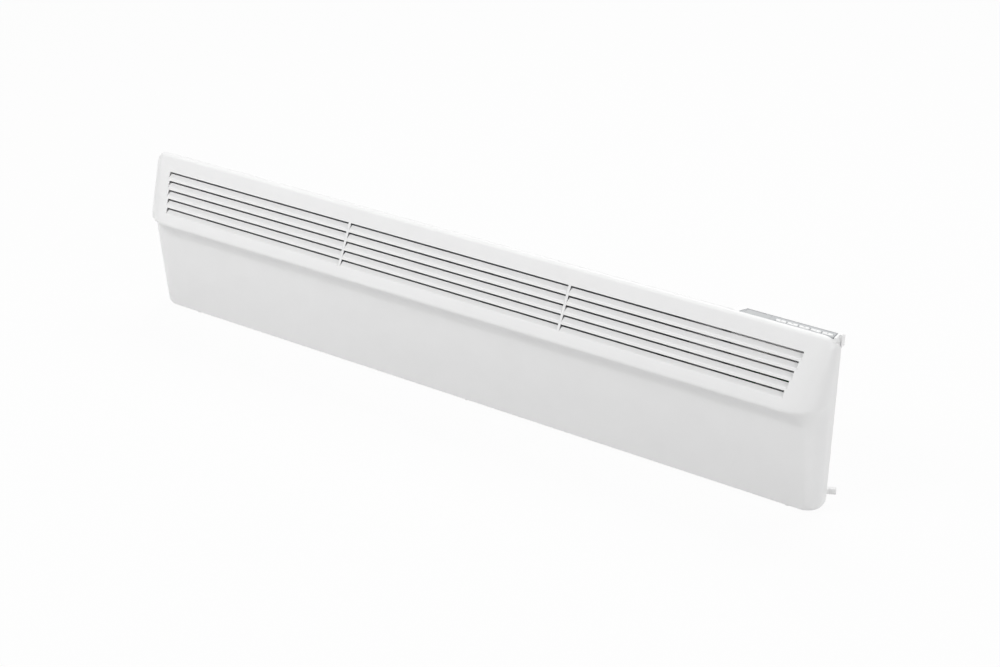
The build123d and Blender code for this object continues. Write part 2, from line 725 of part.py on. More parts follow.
with BuildPart() as control_housing:
    with BuildSketch(level(housing_foot)) as tub:
        with Locations(((housing_left + tub_right) / 2, -(panel_front + back_inner + fit_gap) / 2)):
            Rectangle(tub_right - housing_left, tub_depth)
        far_corner = tub.vertices().sort_by(Axis((0, 0, 0), (1, 1, 0)))[-1]
        chamfer(far_corner, length=housing_chamfer)
    extrude(amount=panel_top - housing_foot)
    # rim over the casing, and the wider top that fills the cover's notch
    rim_front = cover_rear - fit_gap
    with BuildSketch(level(rim_foot)) as rim:
        with Locations(((housing_left + half_length) / 2, -(rim_front + rim_back) / 2)):
            Rectangle(half_length - housing_left, rim_front - rim_back)
        fillet(rim.vertices().group_by(Axis.Y)[-1], radius=rim_corner)
        with Locations(((tub_right + housing_right) / 2, -(panel_front + rim_front) / 2)):
            Rectangle(housing_right - tub_right, panel_front - rim_front)
    extrude(amount=panel_top - rim_foot)
    with BuildSketch(upright(rim_front)):
        with BuildLine():
            Polyline(
                (half_length, rim_foot),
                (half_length, rim_foot + rim_chamfer),
                (half_length - rim_chamfer, rim_foot),
                close=True,
            )
        make_face()
    extrude(amount=rim_back - rim_front, mode=Mode.SUBTRACT)
    right_edge = control_housing.edges().filter_by(Axis.Y).group_by(Axis.Z)[-1]
    fillet(right_edge.sort_by(Axis.X)[-1], radius=housing_round)
    behind_fascia = Vector(0, rim_ledge - panel_back, floor + panel_top)
    split(bisect_by=Plane(origin=behind_fascia, x_dir=(1, 0, 0), z_dir=top_normal), keep=Keep.BOTTOM)
    # hollow under the fascia, with a rib at each end for the control board
    with BuildSketch(level(hollow_top)) as hollow:
        with Locations(hollow_place):
            Rectangle(hollow_length, hollow_depth)
        back_corner = hollow.vertices().sort_by(Axis((0, 0, 0), (1, 1, 0)))[-1]
        chamfer(back_corner, length=housing_chamfer)
    extrude(amount=housing_foot + housing_wall - hollow_top, mode=Mode.SUBTRACT)
    mouth_depth = panel_front - housing_wall - panel_back - fascia_ledge
    with BuildSketch(level(hollow_top)):
        with Locations((fascia_middle + fascia_slant / 2, -panel_back - fascia_ledge - mouth_depth / 2)):
            Rectangle(hollow_length - fascia_slant, mouth_depth)
    extrude(amount=fascia_foot - hollow_top, mode=Mode.SUBTRACT)
    with BuildSketch(level(housing_foot)):
        with Locations(hollow_place):
            with GridLocations(hollow_length - board_rest, 0, 2, 1):
                Rectangle(board_rest, hollow_depth)
    extrude(amount=board_height - housing_foot)
    # seat of the fascia
    with BuildSketch(level(fascia_foot)):
        Polygon(*fascia_outline(0.0), align=None)
    extrude(amount=fascia_sheet, mode=Mode.SUBTRACT)
    # lugs screwed to the casing's back
    with BuildSketch(upright(back_inner)):
        for x, h in housing_lug_places:
            with Locations((x, (h - lug_half + housing_foot + housing_wall) / 2)):
                Rectangle(2 * lug_half, housing_foot + housing_wall - h + lug_half)
            with Locations((x, h)):
                RegularPolygon(hole_radius, screw_sides, mode=Mode.SUBTRACT)
    extrude(amount=housing_lug)
    # way through the floor for the control lead
    with BuildSketch(level(housing_foot)):
        with Locations((control_lead_place, -plug_line)):
            Rectangle(control_lead_width + wire_hole, wire_hole)
    extrude(amount=housing_wall, mode=Mode.SUBTRACT)
keep(control_housing, "control_housing")


# --- control fascia: a slanted-end plate with the window and button openings ---
with BuildPart() as control_fascia:
    with BuildSketch(level(fascia_foot)):
        Polygon(*fascia_outline(fit_gap), align=None)
    extrude(amount=fascia_sheet)
    chamfer(control_fascia.faces().sort_by(Axis.Z)[-1].edges(), length=fit_gap)
    with BuildSketch(level(fascia_foot)):
        with Locations(window_place):
            Rectangle(window_length - 2 * window_edge, window_width - 2 * window_edge)
        with Locations([(x, -button_line) for x in button_places]):
            Rectangle(button_length, button_width)
    extrude(amount=fascia_sheet, mode=Mode.SUBTRACT)
    with BuildSketch(level(panel_top)):
        with Locations(window_place):
            Rectangle(window_length, window_width)
    extrude(amount=-fascia_sheet / 2, mode=Mode.SUBTRACT)
keep(control_fascia, "control_fascia")

with BuildPart() as display_window:
    with BuildSketch(level(panel_top - fascia_sheet / 2)):
        with Locations(window_place):
            Rectangle(window_length - 2 * hole_play, window_width - 2 * hole_play)
    extrude(amount=fascia_sheet / 2)
keep(display_window, "display_window")


# --- push buttons: a proud cap, a flange under the fascia and a stem over its switch ---
def push_button(x):
    with BuildPart() as button:
        with BuildSketch(level(fascia_foot - fit_gap)):
            with Locations((x, -button_line)):
                Rectangle(button_length - 2 * button_gap, button_width - 2 * button_gap)
        extrude(amount=fit_gap + fascia_sheet + button_proud)
        chamfer(button.faces().sort_by(Axis.Z)[-1].edges(), length=button_edge)
        # the flange reaches back only, clear of the housing's front wall
        with BuildSketch(level(fascia_foot - fit_gap)):
            with Locations((x, -button_line + button_flange / 2)):
                Rectangle(button_pitch - flange_gap, button_width + button_flange)
        extrude(amount=-button_flange)
        stem_foot = board_height + board_sheet + switch_height + plunger_height + button_travel + fit_gap
        with BuildSketch(level(stem_foot)):
            with Locations((x, -button_line)):
                Rectangle(stem_side, stem_side)
        extrude(amount=fascia_foot - fit_gap - stem_foot)
    return button


button_names = ("button_power", "button_mode", "button_timer", "button_minus", "button_plus")
for name, x in zip(button_names, button_places):
    keep(push_button(x), name)

# --- control board with its switches and display ---
with BuildPart() as control_board:
    with BuildSketch(level(board_height)) as board_outline:
        with Locations(hollow_place):
            Rectangle(hollow_length - 2 * board_margin, hollow_depth - 2 * board_margin)
        back_corner = board_outline.vertices().sort_by(Axis((0, 0, 0), (1, 1, 0)))[-1]
        chamfer(back_corner, length=housing_chamfer)
    extrude(amount=board_sheet)
keep(control_board, "control_board")

with BuildPart() as button_switches:
    for x in button_places:
        with BuildSketch(level(board_height + board_sheet)):
            with Locations((x, -button_line)):
                Rectangle(switch_side, switch_side)
        extrude(amount=switch_height)
        with BuildSketch(level(board_height + board_sheet + switch_height)):
            with Locations((x, -button_line)):
                Rectangle(stem_side, stem_side)
        extrude(amount=plunger_height)
keep(button_switches, "button_switches")

with BuildPart() as display_module:
    with BuildSketch(level(board_height + board_sheet)):
        with Locations(window_place):
            Rectangle(window_length - 4 * window_edge, window_width - window_edge)
    extrude(amount=fascia_foot - fit_gap - board_height - board_sheet)
    with BuildSketch(level(fascia_foot - fit_gap)):
        with Locations(window_place):
            with GridLocations(digit_pitch, 0, digit_count, 1):
                Rectangle(digit_length, window_width - 3 * window_edge)
    extrude(amount=-fit_gap, mode=Mode.SUBTRACT)
keep(display_module, "display_module")

# --- heating element: one extrusion of crossed arms and fins round a sheathed rod ---
arm_angle = math.degrees(math.atan2(element_half_depth, element_half_height))
arm_length = 2 * math.hypot(element_half_depth, element_half_height) - arm_sheet
element_middle = (-element_line, floor + element_height)
with BuildPart() as heating_element:
    with BuildSketch(across(element_left)):
        with Locations(element_middle):
            Circle(core_radius)
            Rectangle(arm_sheet, arm_length, rotation=arm_angle)
            Rectangle(arm_sheet, arm_length, rotation=-arm_angle)
        for pair in range(1, fin_pairs + 1):
            rise = fin_pitch * pair
            inner = element_half_depth * rise / element_half_height
            for up in (-1, 1):
                for side in (-1, 1):
                    middle = side * (inner + element_half_depth) / 2
                    with Locations((element_middle[0] + middle, element_middle[1] + up * rise)):
                        Rectangle(element_half_depth - inner, fin_sheet)
        with Locations(element_middle):
            Circle(rod_radius + rod_fit, mode=Mode.SUBTRACT)
    extrude(amount=element_right - element_left)
keep(heating_element, "heating_element")

with BuildPart() as heating_rod:
    with BuildSketch(across(element_left - rod_stub)):
        with Locations(element_middle):
            Circle(rod_radius)
    extrude(amount=element_right - element_left + 2 * rod_stub)
keep(heating_rod, "heating_rod")


def end_insulator(start, outward):
    """Ceramic bush round one end of the rod, shouldered against its holder."""
    with BuildPart() as bush:
        with BuildSketch(across(start)):
            with Locations(element_middle):
                RegularPolygon(insulator_radius, insulator_sides)
        extrude(amount=outward * insulator_length)
        with BuildSketch(across(start)):
            with Locations(element_middle):
                RegularPolygon(insulator_radius + insulator_shoulder, insulator_sides)
        extrude(amount=outward * (holder_gap - 2 * fit_gap))
        with BuildSketch(across(start)):
            with Locations(element_middle):
                Circle(rod_radius + rod_fit)
        extrude(amount=outward * insulator_length, mode=Mode.SUBTRACT)
    return bush


keep(end_insulator(element_left - fit_gap, -1), "insulator_left")
keep(end_insulator(element_right + fit_gap, 1), "insulator_right")


def element_holder(x, outward):
    """Upright steel holder with a foot screwed to the casing's back."""
    foot_face = x if outward < 0 else x + holder_sheet
    with BuildPart() as holder:
        with BuildSketch(across(x)) as plate:
            with Locations((-(back_inner + element_line + element_half_depth) / 2, element_middle[1])):
                Rectangle(element_line + element_half_depth - back_inner, 2 * holder_half_height)
            chamfer(plate.vertices().group_by(Axis.X)[0], length=holder_foot / 2)
            with Locations(element_middle):
                RegularPolygon(insulator_radius + hole_play, insulator_sides, mode=Mode.SUBTRACT)
        extrude(amount=holder_sheet)
        with BuildSketch(upright(back_inner)):
            with Locations((foot_face + outward * holder_foot / 2, element_height)):
                Rectangle(holder_foot, 2 * holder_half_height)
            for rise in (-holder_half_height / 2, holder_half_height / 2):
                with Locations((foot_face + outward * holder_foot / 2, element_height + rise)):
                    RegularPolygon(hole_radius, screw_sides, mode=Mode.SUBTRACT)
        extrude(amount=holder_sheet)
    return holder


keep(element_holder(holder_places[0], -1), "element_holder_left")
keep(element_holder(holder_places[1], 1), "element_holder_right")

with BuildPart() as element_terminals:
    for end, outward in ((element_left - rod_stub, -1), (element_right + rod_stub, 1)):
        with BuildSketch(across(end)):
            with Locations(element_middle):
                Rectangle(terminal_sheet, terminal_width)
        extrude(amount=outward * terminal_length)
keep(element_terminals, "element_terminals")

# --- heat shield: a folded sheet behind the element that turns the air to the louvres ---
with BuildPart() as heat_shield:
    with BuildSketch(across(shield_left)):
        with BuildLine() as fold:
            FilletPolyline(
                (-back_inner - shield_sheet / 2, floor + shield_foot),
                (-back_inner - shield_sheet / 2, floor + shield_foot + shield_seat),
                (-shield_line, floor + shield_foot + shield_step),
                (-shield_line, floor + shield_bend),
                (-shield_lip, floor + shield_top),
                radius=shield_seat / 4,
            )
        trace(fold.line, line_width=shield_sheet)
    extrude(amount=shield_right - shield_left)
    with BuildSketch(upright(wall_gap)):
        with Locations(shield_screw_places):
            RegularPolygon(hole_radius, screw_sides)
    extrude(amount=shield_line - wall_gap, mode=Mode.SUBTRACT)
keep(heat_shield, "heat_shield")

# --- partition between the hot chamber and the electronics ---
with BuildPart() as partition_plate:
    edge_gap = cover_sheet + 2 * slip_gap
    flap_reach = louvre_flap * math.sin(math.radians(louvre_angle)) + 3 * slip_gap
    outline = [
        (-back_inner, partition_foot),
        (-(cover_front(partition_foot) - edge_gap), partition_foot),
        (-(cover_front(nose_foot) - edge_gap), nose_foot),
        (-(cover_front(nose_foot) - edge_gap), shield_bend),
        (-(cover_front(partition_top) - edge_gap - flap_reach), partition_top - 3 * edge_gap),
        (-(cover_front(partition_top) - edge_gap - flap_reach) + edge_gap, partition_top),
        (-back_inner, partition_top),
    ]
    with BuildSketch(across(partition_place)):
        Polygon(*[(y, floor + h) for y, h in outline], align=None)
        with Locations((-lead_line, floor + lead_height), (-cutout_lead_line, floor + cutout_height)):
            RegularPolygon(wire_hole, screw_sides, mode=Mode.SUBTRACT)
        with Locations((-element_line, floor + element_height)):
            RegularPolygon(2 * wire_hole, insulator_sides, mode=Mode.SUBTRACT)
    extrude(amount=partition_sheet)
    with BuildSketch(upright(back_inner)):
        with Locations((partition_screw_x, casing_top / 2)):
            Rectangle(partition_flange, casing_top - 2 * flange_margin)
        with Locations(partition_screw_places):
            RegularPolygon(hole_radius, screw_sides, mode=Mode.SUBTRACT)
    extrude(amount=partition_sheet)
keep(partition_plate, "partition_plate")


# --- safety cut-out on the shield, and the room sensor over the inlet ---
with BuildPart() as thermal_cutout:
    shield_face = shield_line + shield_sheet / 2
    with BuildSketch(upright(shield_face)):
        with Locations((cutout_place, cutout_height)):
            Rectangle(cutout_flange, cutout_radius)
    extrude(amount=shield_sheet)
    with BuildSketch(upright(shield_face)):
        with Locations((cutout_place, cutout_height)):
            Circle(cutout_radius)
    extrude(amount=cutout_body)
    with BuildSketch(upright(shield_face + cutout_body)):
        with Locations((cutout_place, cutout_height)):
            with GridLocations(cutout_radius, 0, 2, 1):
                Rectangle(terminal_sheet, terminal_width)
    extrude(amount=terminal_length - fit_gap)
keep(thermal_cutout, "thermal_cutout")

with BuildPart() as sensor_holder:
    holder_top = casing_foot + casing_sheet + 3 * sensor_radius
    with BuildSketch(level(casing_foot + casing_sheet)):
        with Locations((sensor_place, -sensor_line)):
            Rectangle(4 * sensor_radius, sensor_length)
    extrude(amount=3 * sensor_radius)
    with BuildSketch(Plane.XZ.offset(sensor_line)):
        with Locations((sensor_place, floor + holder_top)):
            Circle(sensor_radius + rod_fit)
    extrude(amount=sensor_length, both=True, mode=Mode.SUBTRACT)
keep(sensor_holder, "sensor_holder")

with BuildPart() as room_sensor:
    with BuildSketch(Plane.XZ.offset(sensor_line + sensor_length / 2)):
        with Locations((sensor_place, floor + holder_top)):
            Circle(sensor_radius)
    extrude(amount=-sensor_length)
keep(room_sensor, "room_sensor")

# --- power board on four standoffs, with its parts on the side away from the wall ---
with BuildPart() as board_standoffs:
    with BuildSketch(upright(back_inner)):
        with Locations(board_corners):
            RegularPolygon(standoff_radius, screw_sides)
    extrude(amount=standoff_height)
    with BuildSketch(upright(back_inner)):
        with Locations(board_corners):
            RegularPolygon(hole_radius, screw_sides)
    extrude(amount=standoff_height, mode=Mode.SUBTRACT)
keep(board_standoffs, "board_standoffs")

with BuildPart() as power_board:
    with BuildSketch(upright(board_back)):
        with Locations(((board_left + board_right) / 2, (board_low + board_high) / 2)):
            Rectangle(board_length, board_high - board_low)
        with Locations(board_corners):
            RegularPolygon(hole_radius, screw_sides, mode=Mode.SUBTRACT)
    extrude(amount=board_sheet)
keep(power_board, "power_board")


def board_block(place, size):
    """A component standing on the power board's face."""
    with BuildPart() as block:
        with BuildSketch(upright(board_face)):
            with Locations(place):
                Rectangle(size[0], size[1])
        extrude(amount=size[2])
        chamfer(block.faces().sort_by(Axis.Y)[0].edges(), length=board_sheet / 2)
    return block


keep(board_block(relay_place, relay_size), "power_relay")
keep(board_block(transformer_place, transformer_size), "supply_transformer")

with BuildPart() as supply_capacitor:
    with BuildSketch(upright(board_face)):
        with Locations(capacitor_place):
            Circle(capacitor_radius)
    extrude(amount=capacitor_length)
keep(supply_capacitor, "supply_capacitor")

with BuildPart() as triac_heatsink:
    with BuildSketch(upright(board_face)):
        with Locations(triac_place):
            Rectangle(triac_size[0], triac_size[1])
    extrude(amount=triac_base)
    with BuildSketch(upright(board_face + triac_base)):
        with Locations(triac_place):
            with GridLocations((triac_size[0] - arm_sheet) / (triac_fins - 1), 0, triac_fins, 1):
                Rectangle(arm_sheet, triac_size[1])
    extrude(amount=triac_size[2] - triac_base)
keep(triac_heatsink, "triac_heatsink")

with BuildPart() as board_plugs:
    for place in plug_places:
        with BuildSketch(upright(board_face)):
            with Locations(place):
                Rectangle(plug_size[0], plug_size[1])
        extrude(amount=plug_size[2])
keep(board_plugs, "board_plugs")

with BuildPart() as terminal_block:
    with BuildSketch(upright(back_inner)):
        with Locations(terminal_block_place):
            Rectangle(terminal_block_size[0], terminal_block_size[1])
    extrude(amount=terminal_block_size[2])
    with BuildSketch(upright(back_inner + terminal_block_size[2])):
        with Locations(terminal_block_place):
            with GridLocations(way_pitch, 0, terminal_ways, 1):
                Rectangle(way_pitch - 2 * casing_sheet, terminal_block_size[1] / 2)
    extrude(amount=-terminal_block_size[2] / 2, mode=Mode.SUBTRACT)
keep(terminal_block, "terminal_block")

with BuildPart() as terminal_screws:
    with BuildSketch(upright(back_inner + terminal_block_size[2] / 2)):
        with Locations([(x, terminal_block_place[1]) for x in way_places]):
            RegularPolygon(terminal_screw, 6)
    extrude(amount=terminal_screw)
keep(terminal_screws, "terminal_screws")


# --- screws: a faceted pan head on its seat and a plain shank ---
def screw_set(seats, grip):
    with BuildPart() as screws:
        for seat in seats:
            with BuildSketch(seat):
                RegularPolygon(screw_head, screw_sides)
            extrude(amount=screw_head_height)
            with BuildSketch(seat):
                RegularPolygon(screw_shank, screw_sides)
            extrude(amount=-grip)
    return screws


def back_screws(places, thickness):
    """Screws that hold a sheet of this thickness to the casing's back."""
    seats = [Plane(origin=(x, -back_inner - thickness, floor + h), z_dir=(0, -1, 0)) for x, h in places]
    return screw_set(seats, thickness + casing_sheet + screw_point)


cover_seats = [Plane(origin=(x, -cover_screw_line, floor), z_dir=(0, 0, -1)) for x in cover_screw_places]
keep(screw_set(cover_seats, screw_length), "cover_screws")
keep(back_screws(holder_screw_places, holder_sheet), "holder_screws")
keep(back_screws(shield_screw_places, shield_sheet), "shield_screws")
keep(back_screws(partition_screw_places, partition_sheet), "partition_screws")
keep(back_screws(board_corners, board_face - back_inner), "board_screws")
keep(back_screws(housing_lug_places, housing_lug), "housing_screws")


# --- leads that the heater holds inside ---
def round_lead(points, radii=None):
    """A lead along the points, bent to the radii, or kinked at each point if there are none."""
    with BuildPart() as lead:
        with BuildLine() as route:
            if radii:
                FilletPolyline(*points, radius=radii)
            else:
                Polyline(*points)
        with BuildSketch(Plane(origin=route.line @ 0, z_dir=route.line % 0)):
            RegularPolygon(lead_radius, screw_sides)
        sweep(transition=Transition.RIGHT)
    return lead


def flat_lead_between(plane, points, radius, width):
    """A flat lead whose middle follows the points in a plane."""
    with BuildPart() as lead:
        with BuildSketch(plane):
            with BuildLine() as route:
                FilletPolyline(*points, radius=radius)
            trace(route.line, line_width=flat_lead)
        extrude(amount=width / 2, both=True)
    return lead


lead_floor = floor + lead_height
terminal_end = rod_stub + terminal_length
rod_height = floor + element_height
relay_foot = floor + relay_place[1] - relay_size[1] / 2
long_route = [
    (element_left - terminal_end, -element_line, rod_height),
    (-lead_end, -element_line, rod_height),
    (-lead_end, -lead_line, lead_floor),
    (lead_rise_place, -lead_line, lead_floor),
    (lead_rise_place, -lead_line, relay_foot),
]
keep(round_lead(long_route, lead_bends), "heater_lead_left")

relay_side = relay_place[0] - relay_size[0] / 2
relay_line = board_face + relay_size[2] / 2
short_route = [
    (element_right + terminal_end, -element_line, rod_height),
    (partition_place + partition_flange, -element_line, rod_height),
    (relay_side - partition_flange, -relay_line, floor + relay_place[1]),
    (relay_side, -relay_line, floor + relay_place[1]),
]
keep(round_lead(short_route), "heater_lead_right")

plug_top = floor + plug_height + plug_size[1] / 2
plug_foot = floor + plug_height - plug_size[1] / 2
lead_middle = (plug_top + floor + board_height) / 2
control_route = [
    (-plug_line, plug_top),
    (-plug_line, plug_top + control_lead_bow),
    (-plug_line - control_lead_bow, lead_middle - control_lead_bow),
    (-plug_line, floor + housing_foot - control_lead_bow),
    (-plug_line, floor + board_height),
]
control_plane = across(control_lead_place)
keep(flat_lead_between(control_plane, control_route, control_lead_bow, control_lead_width), "control_lead")

sensor_route = [
    (-sensor_line + sensor_length / 2, floor + holder_top),
    (-plug_line, floor + holder_top),
    (-plug_line, plug_foot),
]
keep(flat_lead_between(across(sensor_place), sensor_route, sensor_radius, sensor_lead_width), "sensor_lead")

cutout_face = shield_face + cutout_body + terminal_length - fit_gap
cutout_route = [
    (cutout_place, -cutout_face),
    (cutout_place, -cutout_lead_line),
    (cutout_lead_end, -cutout_lead_line),
    (cutout_lead_end, -board_face),
]
cutout_plane = level(cutout_height)
keep(flat_lead_between(cutout_plane, cutout_route, flat_lead, cutout_lead_width), "cutout_lead")

block_top = terminal_block_place[1] + terminal_block_size[1] / 2
with BuildPart() as supply_leads:
    with BuildSketch(level(block_top)):
        with Locations([(x, -plug_line) for x in way_places[:2]]):
            RegularPolygon(lead_radius, screw_sides)
    extrude(amount=supply_plug_height - plug_size[1] / 2 - block_top)
keep(supply_leads, "supply_leads")

with BuildPart() as earth_lead:
    with BuildSketch(level(block_top)):
        with Locations((way_places[2], -plug_line)):
            RegularPolygon(lead_radius, screw_sides)
    extrude(amount=earth_height - block_top)
keep(earth_lead, "earth_lead")

with BuildPart() as earth_tab:
    with BuildSketch(level(earth_height)):
        with Locations((way_places[2], -back_inner - earth_reach / 2)):
            Rectangle(terminal_width, earth_reach)
    extrude(amount=terminal_sheet)
    with BuildSketch(upright(back_inner)):
        with Locations((way_places[2], earth_height + terminal_width / 2)):
            Rectangle(terminal_width, terminal_width)
    extrude(amount=terminal_sheet)
keep(earth_tab, "earth_tab")

with BuildPart() as lead_clips:
    floor_top = casing_foot + casing_sheet
    with BuildSketch(level(floor_top)):
        with Locations([(x, -lead_line) for x in clip_places]):
            Rectangle(clip_side, clip_side)
    extrude(amount=lead_height + 2 * lead_radius - floor_top)
    with BuildSketch(across(-half_length)):
        with Locations((-lead_line, lead_floor)):
            Rectangle(2 * (lead_radius + rod_fit), 2 * (lead_radius + rod_fit))
    extrude(amount=length, mode=Mode.SUBTRACT)
keep(lead_clips, "lead_clips")
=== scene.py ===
import bpy
import bmesh
import math
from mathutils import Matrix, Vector


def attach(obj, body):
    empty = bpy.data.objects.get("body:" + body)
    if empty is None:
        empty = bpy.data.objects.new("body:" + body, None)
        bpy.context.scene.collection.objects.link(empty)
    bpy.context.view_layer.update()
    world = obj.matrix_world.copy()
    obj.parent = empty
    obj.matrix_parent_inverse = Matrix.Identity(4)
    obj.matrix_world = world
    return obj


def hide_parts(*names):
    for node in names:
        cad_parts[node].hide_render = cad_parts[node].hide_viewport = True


# A low white wall convector, seen from its front right and a little above.
# The cover, its louvres, the control panel, the cable bush and the cover's screws are made here;
# every other piece is its CAD solid with the finish of the real one.

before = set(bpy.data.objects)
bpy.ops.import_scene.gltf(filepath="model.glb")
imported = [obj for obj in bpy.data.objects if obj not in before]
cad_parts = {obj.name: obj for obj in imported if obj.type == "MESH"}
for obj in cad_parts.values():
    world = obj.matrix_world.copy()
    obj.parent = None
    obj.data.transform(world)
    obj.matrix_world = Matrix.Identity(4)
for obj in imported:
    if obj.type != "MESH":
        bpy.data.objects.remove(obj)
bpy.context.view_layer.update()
scene = bpy.context.scene
mm = 0.001
underside = -118 * mm  # the cover's underside, below the middle of the wall fixing
quarter = math.pi / 2
calc, vectorCalc = "ShaderNodeMath", "ShaderNodeVectorMath"  # the two kinds of node that are used most


def toLinear(hexColour):
    parts = [int(hexColour[i:i + 2], 16) / 255 for i in (0, 2, 4)]
    return [p / 12.92 if p < 0.04045 else ((p + 0.055) / 1.055) ** 2.4 for p in parts] + [1]


# links is a list in the order of the sockets, or a dictionary by socket name or number
def addNode(tree, kind, links=(), **settings):
    node = tree.nodes.new(kind)
    for name, value in settings.items():
        setattr(node, name, value)
    for key, value in links.items() if isinstance(links, dict) else enumerate(links):
        if isinstance(value, bpy.types.Node):
            value = value.outputs[0]
        if isinstance(value, bpy.types.NodeSocket):
            tree.links.new(value, node.inputs[key])
        elif value is not None:
            node.inputs[key].default_value = value
    return node


def freshTree(owner):
    owner.use_nodes = True
    owner.node_tree.nodes.clear()
    return owner.node_tree


# camera, solved from the heater's straight edges, corners and louvre rows in the photograph
view = {
    "place": (1.0957, -1.6695, 1.0267),
    "azimuth": 32.67,
    "elevation": 28.43,
    "lens": 65.72,
    "sensor": 36.0,
}
cameraData = bpy.data.cameras.new("camera")
cameraData.lens = view["lens"]
cameraData.sensor_width = view["sensor"]
camera = bpy.data.objects.new("camera", cameraData)
scene.collection.objects.link(camera)
turn, drop = math.radians(view["azimuth"]), math.radians(view["elevation"])
ahead = Vector((-math.sin(turn) * math.cos(drop), math.cos(turn) * math.cos(drop), -math.sin(drop)))
camera.location = view["place"]
camera.rotation_euler = ahead.to_track_quat("-Z", "Y").to_euler()
scene.camera = camera
scene.view_settings.view_transform = "Standard"
print("camera set")

studio = {
    "ambient": 0.2,
    "floorHeight": underside - 2.4 * mm,
    "floorSize": 14.0,
    "floorWhite": "DADADA",
    "shadowKept": 0.05,
    # name, place, aimed at, width, height, watts
    "lamps": [
        ("overheadSoftbox", (0, 1.3, 2.3), (0, -0.05, 0), 2.4, 1.2, 44),
        ("frontSoftbox", (-1.1, -2.0, 2.4), (0, -0.05, 0), 1.8, 0.9, 48),
        ("lowSoftbox", (-1.2, -2.9, 0.2), (0, -0.05, 0), 1.6, 0.8, 17),
        ("rightSoftbox", (3.1, -0.6, 0.9), (0, -0.05, 0), 1.4, 1.4, 34),
    ],
}


# 1 where the camera, a mirror or glass looks at the surface
def seenShare(tree):
    path = addNode(tree, "ShaderNodeLightPath").outputs
    seen = addNode(tree, calc, [path["Is Camera Ray"], path["Is Glossy Ray"]], operation="MAXIMUM")
    return addNode(tree, calc, [seen, path["Is Transmission Ray"]], operation="MAXIMUM")


# the world lights softly, and is plain white to look at
world = bpy.data.worlds.new("studio")
scene.world = world
tree = freshTree(world)
dim = addNode(tree, "ShaderNodeBackground", [(1, 1, 1, 1), studio["ambient"]])
white = addNode(tree, "ShaderNodeBackground", [(1, 1, 1, 1), 1.0])
mixed = addNode(tree, "ShaderNodeMixShader", [seenShare(tree), dim, white])
addNode(tree, "ShaderNodeOutputWorld", [mixed])

# white painted floor: plain white to look at, with a share kept of the light and shadow on it
floorMaterial = bpy.data.materials.new("paintedFloor")
tree = freshTree(floorMaterial)
matt = addNode(tree, "ShaderNodeBsdfDiffuse", [toLinear(studio["floorWhite"])])
glow = addNode(tree, "ShaderNodeEmission", [(1, 1, 1, 1), 1.0])
share = addNode(tree, calc, [seenShare(tree), 1 - studio["shadowKept"]], operation="MULTIPLY")
mixed = addNode(tree, "ShaderNodeMixShader", [share, matt, glow])
addNode(tree, "ShaderNodeOutputMaterial", [mixed])
half = studio["floorSize"] / 2
floorMesh = bpy.data.meshes.new("floor")
corners = [(x, y, studio["floorHeight"]) for x, y in ((-half, -half), (half, -half), (half, half), (-half, half))]
floorMesh.from_pydata(corners, [], [(0, 1, 2, 3)])
floorMesh.materials.append(floorMaterial)
floorObject = bpy.data.objects.new("floor", floorMesh)
scene.collection.objects.link(floorObject)

for name, place, target, width, height, power in studio["lamps"]:
    lamp = bpy.data.lights.new(name, "AREA")
    lamp.shape = "RECTANGLE"
    lamp.size, lamp.size_y, lamp.energy = width, height, power
    lampObject = bpy.data.objects.new(name, lamp)
    lampObject.location = place
    lampObject.rotation_euler = (Vector(target) - Vector(place)).to_track_quat("-Z", "Y").to_euler()
    scene.collection.objects.link(lampObject)
print("studio set")

surface = {
    "patch": 40.0,  # mm, breadth of the marks that handling and dust leave
    "spangleLift": 0.5,
    "spangleGain": 0.6,
    # the grey of the signs printed on the keys, and also of the painted shade line round the fascia
    "printAndShadeGrey": "77797C",  # grey print on the control panel
}
